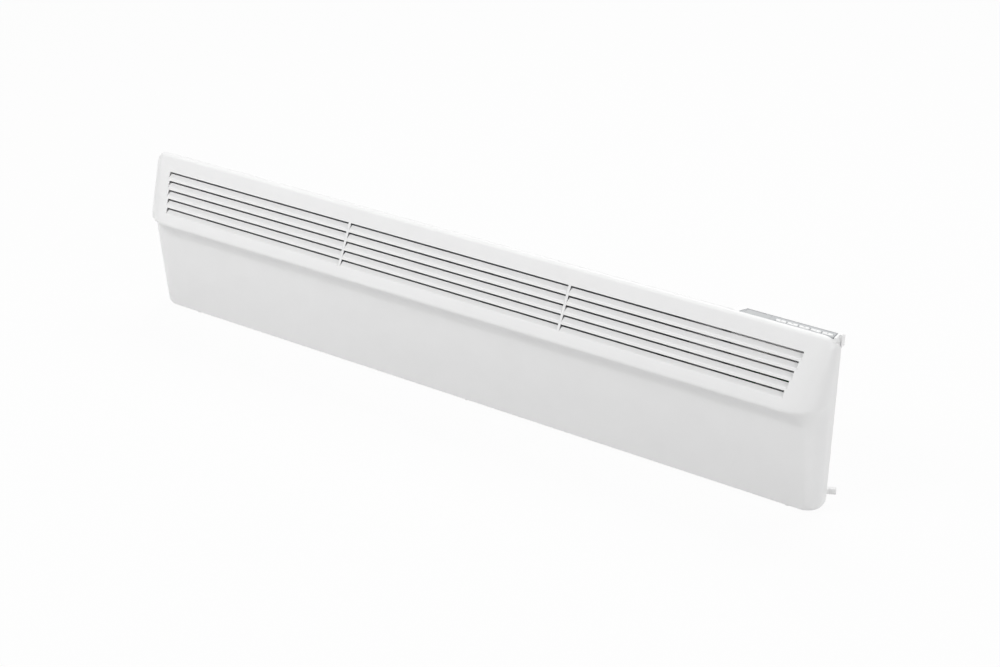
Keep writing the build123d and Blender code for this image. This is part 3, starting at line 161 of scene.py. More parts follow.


# A finish: the colour varies a little with a broad noise, and so does the roughness, as handling and dust leave it;
# the fine relief has its grain and rise in mm. Stretch draws the grain out along the heater, as an extrusion has it,
# and cells give the patches of a zinc coat. Moulded and painted skins have a real grain of 0.03 to 0.1 mm, too fine
# to show in the render, so theirs is drawn several times coarser. A mark is laid in the print-and-shade grey over
# the colour: the signs printed on the keys, and the painted shade line round the fascia.
def finish(name, colour, roughness, metallic=0.0, grain=0.5, rise=0.01, spread=0.08, shade=0.04,
           stretch=1.0, cells=0.0, ior=1.5, mark=None):
    material = bpy.data.materials.new(name)
    tree = freshTree(material)
    place = addNode(tree, "ShaderNodeTexCoord").outputs["Object"]
    drawn = addNode(tree, "ShaderNodeMapping", {"Vector": place, "Scale": (1 / stretch, 1, 1)})
    fine = addNode(tree, "ShaderNodeTexNoise", {"Vector": drawn, "Scale": 1 / (grain * mm), "Detail": 3.0})
    broad = {"Vector": drawn, "Scale": 1 / (surface["patch"] * mm), "Detail": 4.0}
    patch = addNode(tree, "ShaderNodeTexNoise", broad)
    if cells:
        spangle = addNode(tree, "ShaderNodeTexVoronoi", {"Vector": place, "Scale": 1 / (cells * mm)})
        grey = addNode(tree, "ShaderNodeSeparateColor", [spangle.outputs["Color"]])
        patch = addNode(tree, calc, [patch, grey, surface["spangleLift"]], operation="MULTIPLY_ADD")
        patch = addNode(tree, calc, [patch, surface["spangleGain"]], operation="MULTIPLY", use_clamp=True)
    worn = [c * (1 - shade) for c in toLinear(colour)[:3]] + [1]
    # sockets 0, 6 and 7 of a colour mix are its factor and its two colours, and output 2 is the result
    tone = addNode(tree, "ShaderNodeMix", {0: patch, 6: toLinear(colour), 7: worn}, data_type="RGBA").outputs[2]
    if mark:
        marked = {0: mark(tree, place), 6: tone, 7: toLinear(surface["printAndShadeGrey"])}
        tone = addNode(tree, "ShaderNodeMix", marked, data_type="RGBA").outputs[2]
    span = {"Value": patch, "To Min": roughness - spread / 2, "To Max": roughness + spread / 2}
    gloss = addNode(tree, "ShaderNodeMapRange", span)
    relief = addNode(tree, "ShaderNodeBump", {"Height": fine, "Distance": rise * mm, "Strength": 1.0})
    skin = {"Base Color": tone, "Roughness": gloss, "Metallic": metallic, "Normal": relief}
    shader = addNode(tree, "ShaderNodeBsdfPrincipled", skin)
    if not metallic:
        shader.inputs["IOR"].default_value = ior
    addNode(tree, "ShaderNodeOutputMaterial", [shader])
    return material


# ABS painted silver grey: an even satin grey with very fine flakes
silverPaint = {"colour": "B9BBBD", "roughness": 0.36, "grain": 0.25, "rise": 0.004, "shade": 0.06, "ior": 1.52}
# ABS moulded in a fine etched tool: the same white as the cover, softer highlights
keyPlastic = {"colour": "F3F3F3", "roughness": 0.4, "grain": 0.4, "rise": 0.006, "ior": 1.54}
finishes = {
    # polyester powder baked on steel: satin, with a faint orange peel that breaks up long reflections
    "white_powder_coat": finish("powderCoatedSteel", "EFEFEF", 0.44, grain=0.9, rise=0.012),
    # ABS moulded in a lightly etched tool: a little brighter than the coated steel, with a finer skin
    "white_plastic": finish("mouldedAbs", "F4F4F4", 0.42, grain=0.6, rise=0.008, ior=1.54),
    "grey_plastic": finish("paintedAbs", **silverPaint),
    # polycarbonate, moulded and polished: a smooth grey pane with sharp reflections
    "window_plastic": finish("polishedPolycarbonate", "C2C4C5", 0.1, grain=2.0, rise=0.001, spread=0.04,
                             shade=0.03, ior=1.58),
    "button_plastic": finish("mouldedKeyAbs", **keyPlastic),
    # hot dipped zinc on steel: dull patches a few mm across, each turned a little differently to the light
    "galvanised_sheet": finish("galvanisedSteel", "B9BCC0", 0.42, 1.0, grain=1.2, rise=0.008, spread=0.2,
                               shade=0.3, cells=7.0),
    # aluminium pressed through a die: bright grey with fine lines along its length
    "element_aluminium": finish("extrudedAluminium", "C4C6C9", 0.36, 1.0, grain=0.4, rise=0.012, shade=0.14,
                                stretch=60.0),
    # drawn steel sheath, heated many times: dull grey brown with drawing lines
    "rod_steel": finish("drawnSheathSteel", "8D8B88", 0.45, 1.0, grain=0.4, rise=0.01, shade=0.25, stretch=40.0),
    # pressed and fired steatite, unglazed: chalky off-white with a sandy feel
    "ceramic": finish("firedSteatite", "E6E1D6", 0.62, grain=0.35, rise=0.03, ior=1.6),
    # glass fibre laminate under solder mask: glossy dark green over a faint weave
    "circuit_board": finish("maskedLaminate", "2C6A42", 0.3, grain=0.8, rise=0.01, shade=0.14, ior=1.55),
    # black nylon, moulded: satin with a fine etched grain
    "black_plastic": finish("mouldedNylon", "2B2B2D", 0.45, grain=0.4, rise=0.01, shade=0.1, ior=1.53),
    # PVC film shrunk over an aluminium can: smooth and glossy
    "blue_film": finish("shrunkFilm", "3C4A7E", 0.25, grain=1.0, rise=0.01, ior=1.53),
    # zinc plated steel: bright, slightly bluish, with tool marks
    "zinc_screw": finish("zincPlatedSteel", "BFC1C2", 0.3, 1.0, grain=0.6, rise=0.008, shade=0.12),
    # tinned brass strip, stamped: pale yellow metal, dulled by handling
    "brass": finish("tinnedBrass", "CDBE93", 0.35, 1.0, grain=0.6, rise=0.006, shade=0.12),
    # silicone sleeve over glass braid: matt off-white with a soft rib
    "silicone_lead": finish("siliconeSleeve", "DAD8D0", 0.58, grain=0.8, rise=0.02, stretch=3.0, ior=1.42),
    # PVC insulation: smooth green with a soft shine
    "earth_sleeve": finish("pvcSleeve", "7FA23A", 0.45, grain=0.8, rise=0.01, ior=1.53),
}
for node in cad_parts.values():
    for place in node.material_slots:
        slotName = place.material.name.split(".")[0] if place.material else ""
        if slotName in finishes:
            place.material = finishes[slotName]
        else:
            print("no finish for", node.name, slotName)
print("finishes given to", len(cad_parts), "nodes")


# the evaluated object, modifiers and all, as a plain mesh
def evaluatedMesh(piece):
    bpy.context.view_layer.update()
    return bpy.data.meshes.new_from_object(piece.evaluated_get(bpy.context.evaluated_depsgraph_get()))


# the modifiers' result becomes the piece's own mesh
def toPlainMesh(piece):
    made = evaluatedMesh(piece)
    piece.modifiers.clear()
    piece.data = made


# a new object for the mesh, standing for a CAD node and moving with its body
def addPiece(name, mesh, node, slot, material=None, body="heater"):
    piece = bpy.data.objects.new(name, mesh)
    scene.collection.objects.link(piece)
    mesh.materials.clear()
    mesh.materials.append(material or finishes[slot])
    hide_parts(node)
    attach(piece, body)
    return piece


# Front cover: one drawn sheet with a leaning panel, an undercut nose, a flat grille face and a rolled crest.
# All in mm; heights are above the underside, depths are from the wall.
cover = {
    "halfLength": 480.0,
    "sheet": 1.2,
    "rearEdge": 33.0,
    "panelFoot": 57.1,
    "panelLean": 0.119,
    "noseFoot": 111.4,
    "noseEdge": 137.4,
    "noseRound": 7.0,
    "sharpCrest": 219.4,
    "crestLine": 46.3,
    "grilleTilt": 28.3,
    "topFall": 30.0,
    "crestRadius": 6.0,
    "footRadius": 7.0,
    "footBend": 1.6,  # rounding of the lower front edge
    "endRadius": 13.0,  # upper corners, seen from the front
    "footCorner": 16.0,
    "panelCorner": 23.0,
    "noseCorner": 41.0,
    "crestCorner": 11.5,
    "lipDepth": 12.0,
    "lipEnd": 30.0,
    "notch": (355.2, 477.3),  # opening for the control housing, left and right
    "notchFront": 42.7,
    "notchFoot": 186.0,
    "sharpAngle": 32.0,  # degrees, above which an edge stays sharp
    # how finely it is divided
    "cornerSteps": 14,
    "sideSteps": 3,
    "sideLeast": 0.5,  # mm, the least that a side or the front keeps beside a corner
    "between": (0, 80, 240, 320),  # courses across, besides those at the ends of the bays
    "bendSteps": 4,
    "footSteps": 5,
    "panelSteps": 4,
    "noseSteps": 26,
    "endSteps": 12,
    "crestSteps": 6,
    "rollSteps": 4,
}
louvre = {
    "rows": 5,
    "pitch": 11.46,
    "firstEdge": 198.5,
    "window": 9.0,
    "flap": 7.5,
    "angle": 28.0,
    "bend": 2.6,
    "relief": 0.35,
    "topHalf": 448.0,
    "step": 2.44,
    "barPlace": 156.8,
    "barWidth": 3.0,
}
tilt = math.radians(cover["grilleTilt"])
fall = math.radians(cover["topFall"])
noseRise = cover["noseEdge"] - cover["noseFoot"]
crestSet = cover["crestRadius"] / math.cos((quarter - tilt + fall) / 2)
crestTurn = (quarter - tilt - fall) / 2
crestDepth = cover["crestLine"] - crestSet * math.sin(crestTurn)  # centre of the crest's rounding
crestCentre = cover["sharpCrest"] - crestSet * math.cos(crestTurn)
crestHeight = crestCentre + cover["crestRadius"]
endCentre = crestHeight - cover["endRadius"]
rowDrop = {name: louvre[name] * math.cos(tilt) for name in ("pitch", "window")}  # as heights, on the tilted face


def grilleLine(h):
    return cover["crestLine"] + math.tan(tilt) * (cover["sharpCrest"] - h)


# wall to the front at a height
def coverFront(h):
    if h > crestCentre + cover["crestRadius"] * math.sin(tilt):
        return crestDepth + math.sqrt(max(cover["crestRadius"] ** 2 - (h - crestCentre) ** 2, 0))
    reach = grilleLine(cover["noseEdge"]) - cover["panelFoot"] - cover["panelLean"] * cover["noseEdge"]
    under = cover["panelFoot"] + cover["panelLean"] * h + reach * (max(h - cover["noseFoot"], 0) / noseRise) ** 2
    near = max(1 - abs(under - grilleLine(h)) / cover["noseRound"], 0)
    front = min(under, grilleLine(h)) - near ** 2 * cover["noseRound"] / 4
    sink = max(cover["footBend"] - h, 0)
    return front - cover["footBend"] + math.sqrt(cover["footBend"] ** 2 - sink ** 2)


# radius of the vertical corners at a height
def coverCorner(h):
    if h < cover["noseFoot"]:
        return cover["footCorner"] + (cover["panelCorner"] - cover["footCorner"]) * h / cover["noseFoot"]
    if h < cover["noseEdge"]:
        up = (h - cover["noseFoot"]) / noseRise
        return cover["panelCorner"] + (cover["noseCorner"] - cover["panelCorner"]) * up * up * (3 - 2 * up)
    up = (h - cover["noseEdge"]) / (crestHeight - cover["noseEdge"])
    return cover["noseCorner"] + up * (cover["crestCorner"] - cover["noseCorner"])


# half the length at a height
def coverHalf(h):
    low, high = max(cover["footRadius"] - h, 0), max(h - endCentre, 0)
    foot = cover["footRadius"] - math.sqrt(cover["footRadius"] ** 2 - low ** 2)
    end = cover["endRadius"] - math.sqrt(max(cover["endRadius"] ** 2 - high ** 2, 0))
    return cover["halfLength"] - max(foot, end)


# height of the top at a depth: the crest's rounding, and then the fall to the wall
def topAt(depth):
    if depth > crestDepth:
        return crestHeight
    if depth > crestDepth - cover["crestRadius"] * math.sin(fall):
        return crestCentre + math.sqrt(cover["crestRadius"] ** 2 - (crestDepth - depth) ** 2)
    return cover["sharpCrest"] - (cover["crestLine"] - depth) * math.tan(fall)


# left and right end of each bay of a row
def louvreEnds(row):
    end = louvre["topHalf"] - louvre["step"] * row
    inner, outer = (louvre["barPlace"] + side * louvre["barWidth"] / 2 for side in (-1, 1))
    return [(-end, -outer), (-inner, inner), (outer, end)]


# outline at a height, open to the wall: left side, corner, front, corner, right side
def coverOutline(h, fixed):
    half, front, rear, least = coverHalf(h), coverFront(h), cover["rearEdge"], cover["sideLeast"]
    corner = min(coverCorner(h), front - rear - least)
    side = (front - corner - rear) / cover["sideSteps"]
    right = [(half, rear + side * k) for k in range(cover["sideSteps"])]
    for k in range(cover["cornerSteps"] + 1):
        turn = quarter * k / cover["cornerSteps"]
        right.append((half - corner + corner * math.cos(turn), front - corner + corner * math.sin(turn)))
    # beyond the ends of the nearest row, the courses close up to stay clear of the corner
    nearest = round((louvre["firstEdge"] - h - rowDrop["window"] / 2) / rowDrop["pitch"])
    end = louvre["topHalf"] - louvre["step"] * min(max(nearest, 0), louvre["rows"] - 1)
    squeeze = min(1, (half - corner - least - end) / (louvre["topHalf"] + 0.01 - end))
    across = [math.copysign(end + (abs(x) - end) * squeeze, x) if abs(x) > end else x for x in fixed]
    return [(-x, depth) for x, depth in right] + [(x, front) for x in across] + right[::-1]


# heights of the cover's courses, and the bays that are cut out of each course that has a row of louvres
def coverHeights():
    bend, foot, nose = cover["footBend"], cover["footRadius"], cover["noseFoot"]
    heights = [bend * (1 - math.cos(quarter * k / cover["bendSteps"])) for k in range(cover["bendSteps"])]
    footTurns = [quarter * k / cover["footSteps"] for k in range(cover["footSteps"] + 1)]
    heights += [bend + (foot - bend) * (1 - math.cos(turn)) for turn in footTurns]
    heights += [foot + (nose - foot) * k / cover["panelSteps"] for k in range(1, cover["panelSteps"])]
    lowWindow = louvre["firstEdge"] - rowDrop["pitch"] * (louvre["rows"] - 1) - rowDrop["window"]
    heights += [nose + (lowWindow - nose) * k / cover["noseSteps"] for k in range(cover["noseSteps"])]
    cut = {}
    for row in reversed(range(louvre["rows"])):
        low = louvre["firstEdge"] - rowDrop["pitch"] * row - rowDrop["window"]
        cut[len(heights) + 1] = louvreEnds(row)  # one more, for the lip that comes first
        heights += [low, low + rowDrop["window"]]
    endTurns = [quarter * k / cover["endSteps"] for k in range(cover["endSteps"] + 1)]
    crestTurns = [tilt + (quarter - tilt) * k / cover["crestSteps"] for k in range(cover["crestSteps"])]
    top = {endCentre + cover["endRadius"] * math.sin(turn) for turn in endTurns}
    top |= {crestCentre + cover["crestRadius"] * math.sin(turn) for turn in crestTurns}
    for h in sorted(top):
        if h - heights[-1] > 0.02:  # mm, to leave out a course that is there already
            heights.append(h)
    return heights, cut


# the points of the cover's outer face, course by course from the lip over the crest to the rear edge, in mm
def coverRows(heights):
    bayEnds = {x for row in range(louvre["rows"]) for bay in louvreEnds(row) for x in bay}
    fixed = sorted(bayEnds | {side * x for x in cover["between"] for side in (-1, 1)})

    # the upper courses sink with the falling top, which keeps the ends round all the way back
    rows = []
    for h in heights:
        share = min(max((h - cover["notchFoot"]) / (endCentre - cover["notchFoot"]), 0), 1)
        outline = coverOutline(h, fixed)
        rows.append([Vector((x, -depth, h - (crestHeight - topAt(depth)) * share)) for x, depth in outline])
    last = coverOutline(heights[-1], fixed)
    roll = cover["crestRadius"] * math.sin(fall) / cover["rollSteps"]
    rolled = [crestDepth - roll * k for k in range(1, cover["rollSteps"] + 1)]
    for depth in rolled + [(rolled[-1] + cover["rearEdge"]) / 2, cover["rearEdge"]]:
        rows.append([Vector((x, -min(own, depth), topAt(min(own, depth)))) for x, own in last])

    # closed ends and return flange of the underside
    mouthX, mouthY = cover["halfLength"] - cover["lipEnd"], cover["lipDepth"] - cover["panelFoot"]
    rows.insert(0, [Vector((max(-mouthX, min(mouthX, p.x)), max(mouthY, p.y), 0)) for p in rows[0]])
    return rows


# notch in the top for the control housing: cut along its four sides, then emptied
def cutNotch(mesh):
    low, high = cover["notch"][0] * mm, cover["notch"][1] * mm
    front, foot = -cover["notchFront"] * mm, underside + cover["notchFoot"] * mm
    acrossX, acrossY, acrossZ = (1, 0, 0), (0, 1, 0), (0, 0, 1)
    sides = (((low, 0, 0), acrossX), ((high, 0, 0), acrossX), ((0, front, 0), acrossY), ((0, 0, foot), acrossZ))
    frontReach, footReach = 12 * mm, 60 * mm  # only the faces this near to the notch are cut
    for point, normal in sides:
        near = []
        for face in mesh.faces:
            middle = face.calc_center_median()
            if middle.y > front - frontReach and middle.z > foot - footReach:
                near.append(face)
        near += list({v for f in near for v in f.verts}) + list({e for f in near for e in f.edges})
        bmesh.ops.bisect_plane(mesh, geom=near, plane_co=point, plane_no=normal, dist=1e-7)
    gone = []
    for face in mesh.faces:
        x, y, z = face.calc_center_median()
        if low < x < high and y > front and z > foot:
            gone.append(face)
    bmesh.ops.delete(mesh, geom=gone, context="FACES")


def coverMesh():
    heights, cut = coverHeights()
    rows = coverRows(heights)
    mesh = bmesh.new()
    grid = [[mesh.verts.new((p.x * mm, p.y * mm, underside + p.z * mm)) for p in row] for row in rows]
    for r in range(len(rows) - 1):
        for c in range(len(rows[r]) - 1):
            middle = (rows[r][c].x + rows[r][c + 1].x) / 2
            if r in cut and any(a < middle < b for a, b in cut[r]):
                continue
            mesh.faces.new((grid[r][c], grid[r][c + 1], grid[r + 1][c + 1], grid[r + 1][c]))
    bmesh.ops.remove_doubles(mesh, verts=mesh.verts, dist=1e-6)
    bmesh.ops.dissolve_degenerate(mesh, edges=mesh.edges, dist=1e-6)
    cutNotch(mesh)
    for face in mesh.faces:
        face.smooth = True
    data = bpy.data.meshes.new("frontCover")
    mesh.to_mesh(data)
    mesh.free()
    return data


coverPiece = bpy.data.objects.new("frontCover", coverMesh())
scene.collection.objects.link(coverPiece)
wall = coverPiece.modifiers.new("sheet", "SOLIDIFY")
wall.thickness, wall.offset = cover["sheet"] * mm, -1
toPlainMesh(coverPiece)
coverPiece.data.set_sharp_from_angle(angle=math.radians(cover["sharpAngle"]))
coverPiece.data.materials.clear()
coverPiece.data.materials.append(finishes["white_powder_coat"])
print("cover made,", len(coverPiece.data.polygons), "faces")


# a new tree with its inputs, given as socket types and the names of that type
def newGeometryTree(name, inputs):
    tree = bpy.data.node_groups.new(name, "GeometryNodeTree")
    tree.interface.new_socket("Geometry", in_out="OUTPUT", socket_type="NodeSocketGeometry")
    for kind, names in inputs.items():
        for inputName in names:
            tree.interface.new_socket(inputName, in_out="INPUT", socket_type=kind)
    return tree


# the copies made real and painted, as the tree's result
def endTree(tree, copies, finishSocket):
    real = addNode(tree, "GeometryNodeRealizeInstances", [copies])
    painted = addNode(tree, "GeometryNodeSetMaterial", {"Geometry": real, "Material": finishSocket})
    addNode(tree, "NodeGroupOutput", [painted])


# Louvre flaps, lanced out of the same sheet. One flap is drawn as a bent section one metre long;
# each copy is scaled to the width of its bay.
def louvreTree():
    sizes = ("pitch", "flap", "bend", "angle", "sheet", "topHalf", "step", "barPlace", "barWidth", "relief", "tilt")
    tree = newGeometryTree("louvres", {
        "NodeSocketInt": ["rows"], "NodeSocketFloat": sizes, "NodeSocketVector": ["hinge"],
        "NodeSocketMaterial": ["finish"],
    })
    given = addNode(tree, "NodeGroupInput").outputs

    # closed section: out along the face and back along the rear, an arc of the bend radius and then straight
    arcSteps = 7
    ringPoints = 2 * (arcSteps + 2)
    ring = addNode(tree, "GeometryNodeCurvePrimitiveCircle", {"Resolution": ringPoints})
    index = addNode(tree, "GeometryNodeInputIndex")
    mirrored = addNode(tree, calc, [ringPoints - 1, index], operation="SUBTRACT")
    along = addNode(tree, calc, [index, mirrored], operation="MINIMUM")
    share = addNode(tree, calc, [along, arcSteps], operation="DIVIDE", use_clamp=True)
    turned = addNode(tree, calc, [share, given["angle"]], operation="MULTIPLY")
    cosTurn = addNode(tree, calc, [turned], operation="COSINE")
    sinTurn = addNode(tree, calc, [turned], operation="SINE")
    arc = addNode(tree, calc, [given["angle"], given["bend"]], operation="MULTIPLY")
    rest = addNode(tree, calc, [given["flap"], arc], operation="SUBTRACT")
    atTip = addNode(tree, calc, [along, arcSteps + 0.5], operation="GREATER_THAN")
    straight = addNode(tree, calc, [atTip, rest], operation="MULTIPLY")
    atRear = addNode(tree, calc, [index, arcSteps + 1.5], operation="GREATER_THAN")
    side = addNode(tree, calc, [atRear, 0.5], operation="SUBTRACT")
    offset = addNode(tree, calc, [side, given["sheet"]], operation="MULTIPLY")
    arcX = addNode(tree, calc, [sinTurn, given["bend"]], operation="MULTIPLY")
    middleX = addNode(tree, calc, [straight, cosTurn, arcX], operation="MULTIPLY_ADD")
    lift = addNode(tree, calc, [1.0, cosTurn], operation="SUBTRACT")
    arcY = addNode(tree, calc, [lift, given["bend"]], operation="MULTIPLY")
    middleY = addNode(tree, calc, [straight, sinTurn, arcY], operation="MULTIPLY_ADD")
    backX = addNode(tree, calc, [offset, sinTurn], operation="MULTIPLY")
    x = addNode(tree, calc, [middleX, backX], operation="SUBTRACT")
    y = addNode(tree, calc, [offset, cosTurn, middleY], operation="MULTIPLY_ADD")
    place = addNode(tree, "ShaderNodeCombineXYZ", [x, y, 0.0])
    section = addNode(tree, "GeometryNodeSetPosition", {"Geometry": ring, "Position": place})
    face = addNode(tree, "GeometryNodeFillCurve", {"Curve": section}, mode="NGONS")
    pull = {"Mesh": face, "Offset": (0, 0, 1), "Offset Scale": 1.0, "Individual": False}
    drawn = addNode(tree, "GeometryNodeExtrudeMesh", pull, mode="FACES")
    closed = addNode(tree, "GeometryNodeJoinGeometry")
    for part in (drawn, addNode(tree, "GeometryNodeFlipFaces", [face])):
        tree.links.new(part.outputs[0], closed.inputs[0])
    merged = addNode(tree, "GeometryNodeMergeByDistance", {"Geometry": closed, "Distance": 1e-7})
    flap = addNode(tree, "GeometryNodeTransform", {"Geometry": merged, "Translation": (0, 0, -0.5)})

    # three bays a row, each row a step shorter than the one above it; a bay is -1, 0 or 1
    count = addNode(tree, calc, [given["rows"], 3.0], operation="MULTIPLY")
    points = addNode(tree, "GeometryNodePoints", {"Count": count})
    third = addNode(tree, calc, [index, 3.0], operation="DIVIDE")
    row = addNode(tree, calc, [third], operation="FLOOR")
    first = addNode(tree, calc, [row, -3.0, -1.0], operation="MULTIPLY_ADD")
    bay = addNode(tree, calc, [index, first], operation="ADD")
    outside = addNode(tree, calc, [bay], operation="ABSOLUTE")
    barInner = addNode(tree, calc, [given["barWidth"], -0.5, given["barPlace"]], operation="MULTIPLY_ADD")
    barOuter = addNode(tree, calc, [given["barWidth"], 0.5, given["barPlace"]], operation="MULTIPLY_ADD")
    back = addNode(tree, calc, [row, given["step"]], operation="MULTIPLY")
    end = addNode(tree, calc, [given["topHalf"], back], operation="SUBTRACT")
    middleWidth = addNode(tree, calc, [barInner, 2.0], operation="MULTIPLY")
    outerWidth = addNode(tree, calc, [end, barOuter], operation="SUBTRACT")
    width = addNode(tree, "ShaderNodeMix", [outside, None, middleWidth, outerWidth], data_type="FLOAT")
    free = addNode(tree, calc, [given["relief"], -2.0, width], operation="MULTIPLY_ADD")
    bothEnds = addNode(tree, calc, [end, barOuter], operation="ADD")
    outerMiddle = addNode(tree, calc, [bothEnds, 0.5], operation="MULTIPLY")
    middle = addNode(tree, calc, [bay, outerMiddle], operation="MULTIPLY")

    # each row lies a pitch further down the tilted face
    cosTilt = addNode(tree, calc, [given["tilt"]], operation="COSINE")
    sinTilt = addNode(tree, calc, [given["tilt"]], operation="SINE")
    sinBack = addNode(tree, calc, [sinTilt, -1.0], operation="MULTIPLY")
    down = addNode(tree, calc, [row, given["pitch"]], operation="MULTIPLY")
    up = addNode(tree, calc, [down, -1.0], operation="MULTIPLY")
    shiftY = addNode(tree, calc, [up, sinTilt], operation="MULTIPLY")
    shiftZ = addNode(tree, calc, [up, cosTilt], operation="MULTIPLY")
    shift = addNode(tree, "ShaderNodeCombineXYZ", [middle, shiftY, shiftZ])
    spot = addNode(tree, vectorCalc, [shift, given["hinge"]], operation="ADD")
    placed = addNode(tree, "GeometryNodeSetPosition", {"Geometry": points, "Position": spot})
    upward = addNode(tree, "ShaderNodeCombineXYZ", [0.0, sinTilt, cosTilt])
    inward = addNode(tree, "ShaderNodeCombineXYZ", [0.0, cosTilt, sinBack])
    axes = addNode(tree, "FunctionNodeAxesToRotation", [upward, inward], primary_axis="X", secondary_axis="Y")
    size = addNode(tree, "ShaderNodeCombineXYZ", [1.0, 1.0, free])
    copies = {"Points": placed, "Instance": flap, "Rotation": axes, "Scale": size}
    endTree(tree, addNode(tree, "GeometryNodeInstanceOnPoints", copies), given["finish"])
    return tree


# puts the tree on a piece with its inputs set, and makes the result a plain mesh
def grow(name, tree, values):
    piece = bpy.data.objects.new(name, bpy.data.meshes.new(name))
    scene.collection.objects.link(piece)
    modifier = piece.modifiers.new(tree.name, "NODES")
    modifier.node_group = tree
    for item in tree.interface.items_tree:
        if item.item_type == "SOCKET" and item.in_out == "INPUT" and item.name in values:
            modifier[item.identifier] = values[item.name]
    toPlainMesh(piece)
    return piece


hingeHeight = louvre["firstEdge"] - rowDrop["window"]
hinge = Vector((0, -grilleLine(hingeHeight) * mm, underside + hingeHeight * mm))
hinge += Vector((0, math.cos(tilt), -math.sin(tilt))) * cover["sheet"] / 2 * mm
lengthNames = ("pitch", "flap", "bend", "topHalf", "step", "barPlace", "barWidth", "relief")
louvrePiece = grow("louvreFlaps", louvreTree(), {
    **{name: louvre[name] * mm for name in lengthNames},
    "rows": louvre["rows"],
    "angle": math.radians(louvre["angle"]),
    "sheet": cover["sheet"] * mm,
    "tilt": tilt,
    "hinge": hinge,
    "finish": finishes["white_powder_coat"],
})
print("louvres made,", len(louvrePiece.data.polygons), "faces")
for piece in (coverPiece, louvrePiece):
    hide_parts("front_cover")
    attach(piece, "heater")

# Control panel: grey fascia with a slanted left end, a window and five keys. In mm, x along the heater.
panel = {
    "face": 216.7,
    "thick": 2.0,
    "front": 42.7,
    "back": 31.2,
    "left": 361.5,
    "right": 474.5,
    "slant": 6.0,
    "gap": 0.3,
    "edge": 0.25,
    "round": 0.8,  # corners of the fascia and of the window's opening
    # width of the painted shade line along the fascia's back and ends
    "border": 1.1,
    "window": (368.0, 30.0, 8.6),  # left end, length, width
    "paneThick": 0.9,
    "paneSunk": 0.1,
    "paneEdge": 0.2,
    "paneRound": 0.7,
    "keyFirst": 410.9,
    "keyPitch": 13.6,
    "keyLine": 38.5,
    "keyOpening": (12.6, 4.6),
    "openingRound": 1.2,
    "keyGap": 0.3,
    "keyProud": 0.5,
    "keyEdge": 0.5,
    "keyRound": 1.0,
    "sharpAngle": 40.0,
    "signLine": 0.15,  # half the width of a ring's printed line
}


# a closed loop with rounded corners, as flat points
def roundedLoop(corners, radius, count=6):
    loop = []
    for i, corner in enumerate(corners):
        here = Vector(corner)
        before = (Vector(corners[i - 1]) - here).normalized()
        after = (Vector(corners[(i + 1) % len(corners)]) - here).normalized()
        opening = math.acos(max(min(before.dot(after), 1), -1))
        centre = here + (before + after).normalized() * radius / math.sin(opening / 2)
        reach = radius / math.tan(opening / 2)
        start, end = here + before * reach - centre, here + after * reach - centre
        sweep = start.angle_signed(end)
        for k in range(count + 1):
            cosTurn, sinTurn = math.cos(-sweep * k / count), math.sin(-sweep * k / count)
            x, y = start.x * cosTurn - start.y * sinTurn, start.x * sinTurn + start.y * cosTurn
            loop.append((centre.x + x, centre.y + y))
    return loop


def box2d(x, y, length, width):
    left, right, low, high = x - length / 2, x + length / 2, y - width / 2, y + width / 2
    return [(left, low), (right, low), (right, high), (left, high)]


# a plate between two heights with its openings, all edges rounded
def plateMesh(name, loops, low, high, edge):
    curve = bpy.data.curves.new(name, "CURVE")
    curve.dimensions, curve.fill_mode = "2D", "BOTH"
    curve.extrude = ((high - low) / 2 - edge) * mm
    curve.bevel_depth, curve.offset, curve.bevel_resolution = edge * mm, -edge * mm, 3
    for loop in loops:
        spline = curve.splines.new("POLY")
        spline.points.add(len(loop) - 1)
        for point, (x, y) in zip(spline.points, loop):
            point.co = (x * mm, y * mm, 0, 1)
        spline.use_cyclic_u = True
    holder = bpy.data.objects.new(name, curve)
    scene.collection.objects.link(holder)
    mesh = evaluatedMesh(holder)
    bpy.data.objects.remove(holder)
    bpy.data.curves.remove(curve)
    work = bmesh.new()
    work.from_mesh(mesh)
    bmesh.ops.remove_doubles(work, verts=work.verts, dist=1e-7)
    for vertex in work.verts:
        vertex.co.z += underside + (low + high) / 2 * mm
    bmesh.ops.recalc_face_normals(work, faces=work.faces)
    for face in work.faces:
        face.smooth = True
    work.to_mesh(mesh)
    work.free()
    mesh.set_sharp_from_angle(angle=math.radians(panel["sharpAngle"]))
    return mesh


gap, bottom = panel["gap"], panel["face"] - panel["thick"]
front, back = panel["front"] - gap, panel["back"] + gap
left, right = panel["left"] + gap, panel["right"] - gap
fasciaCorners = [(left, -front), (right, -front), (right, -back), (left + panel["slant"], -back)]
windowLeft, windowLength, windowWidth = panel["window"]
windowMiddle = (windowLeft + windowLength / 2, -(panel["front"] + panel["back"]) / 2)
keyPlaces = [panel["keyFirst"] + panel["keyPitch"] * k for k in range(5)]
keyLength, keyWidth = panel["keyOpening"]
loops = [
    roundedLoop(fasciaCorners, panel["round"]),
    roundedLoop(box2d(*windowMiddle, windowLength, windowWidth), panel["round"]),
]
for x in keyPlaces:
    loops.append(roundedLoop(box2d(x, -panel["keyLine"], keyLength, keyWidth), panel["openingRound"]))
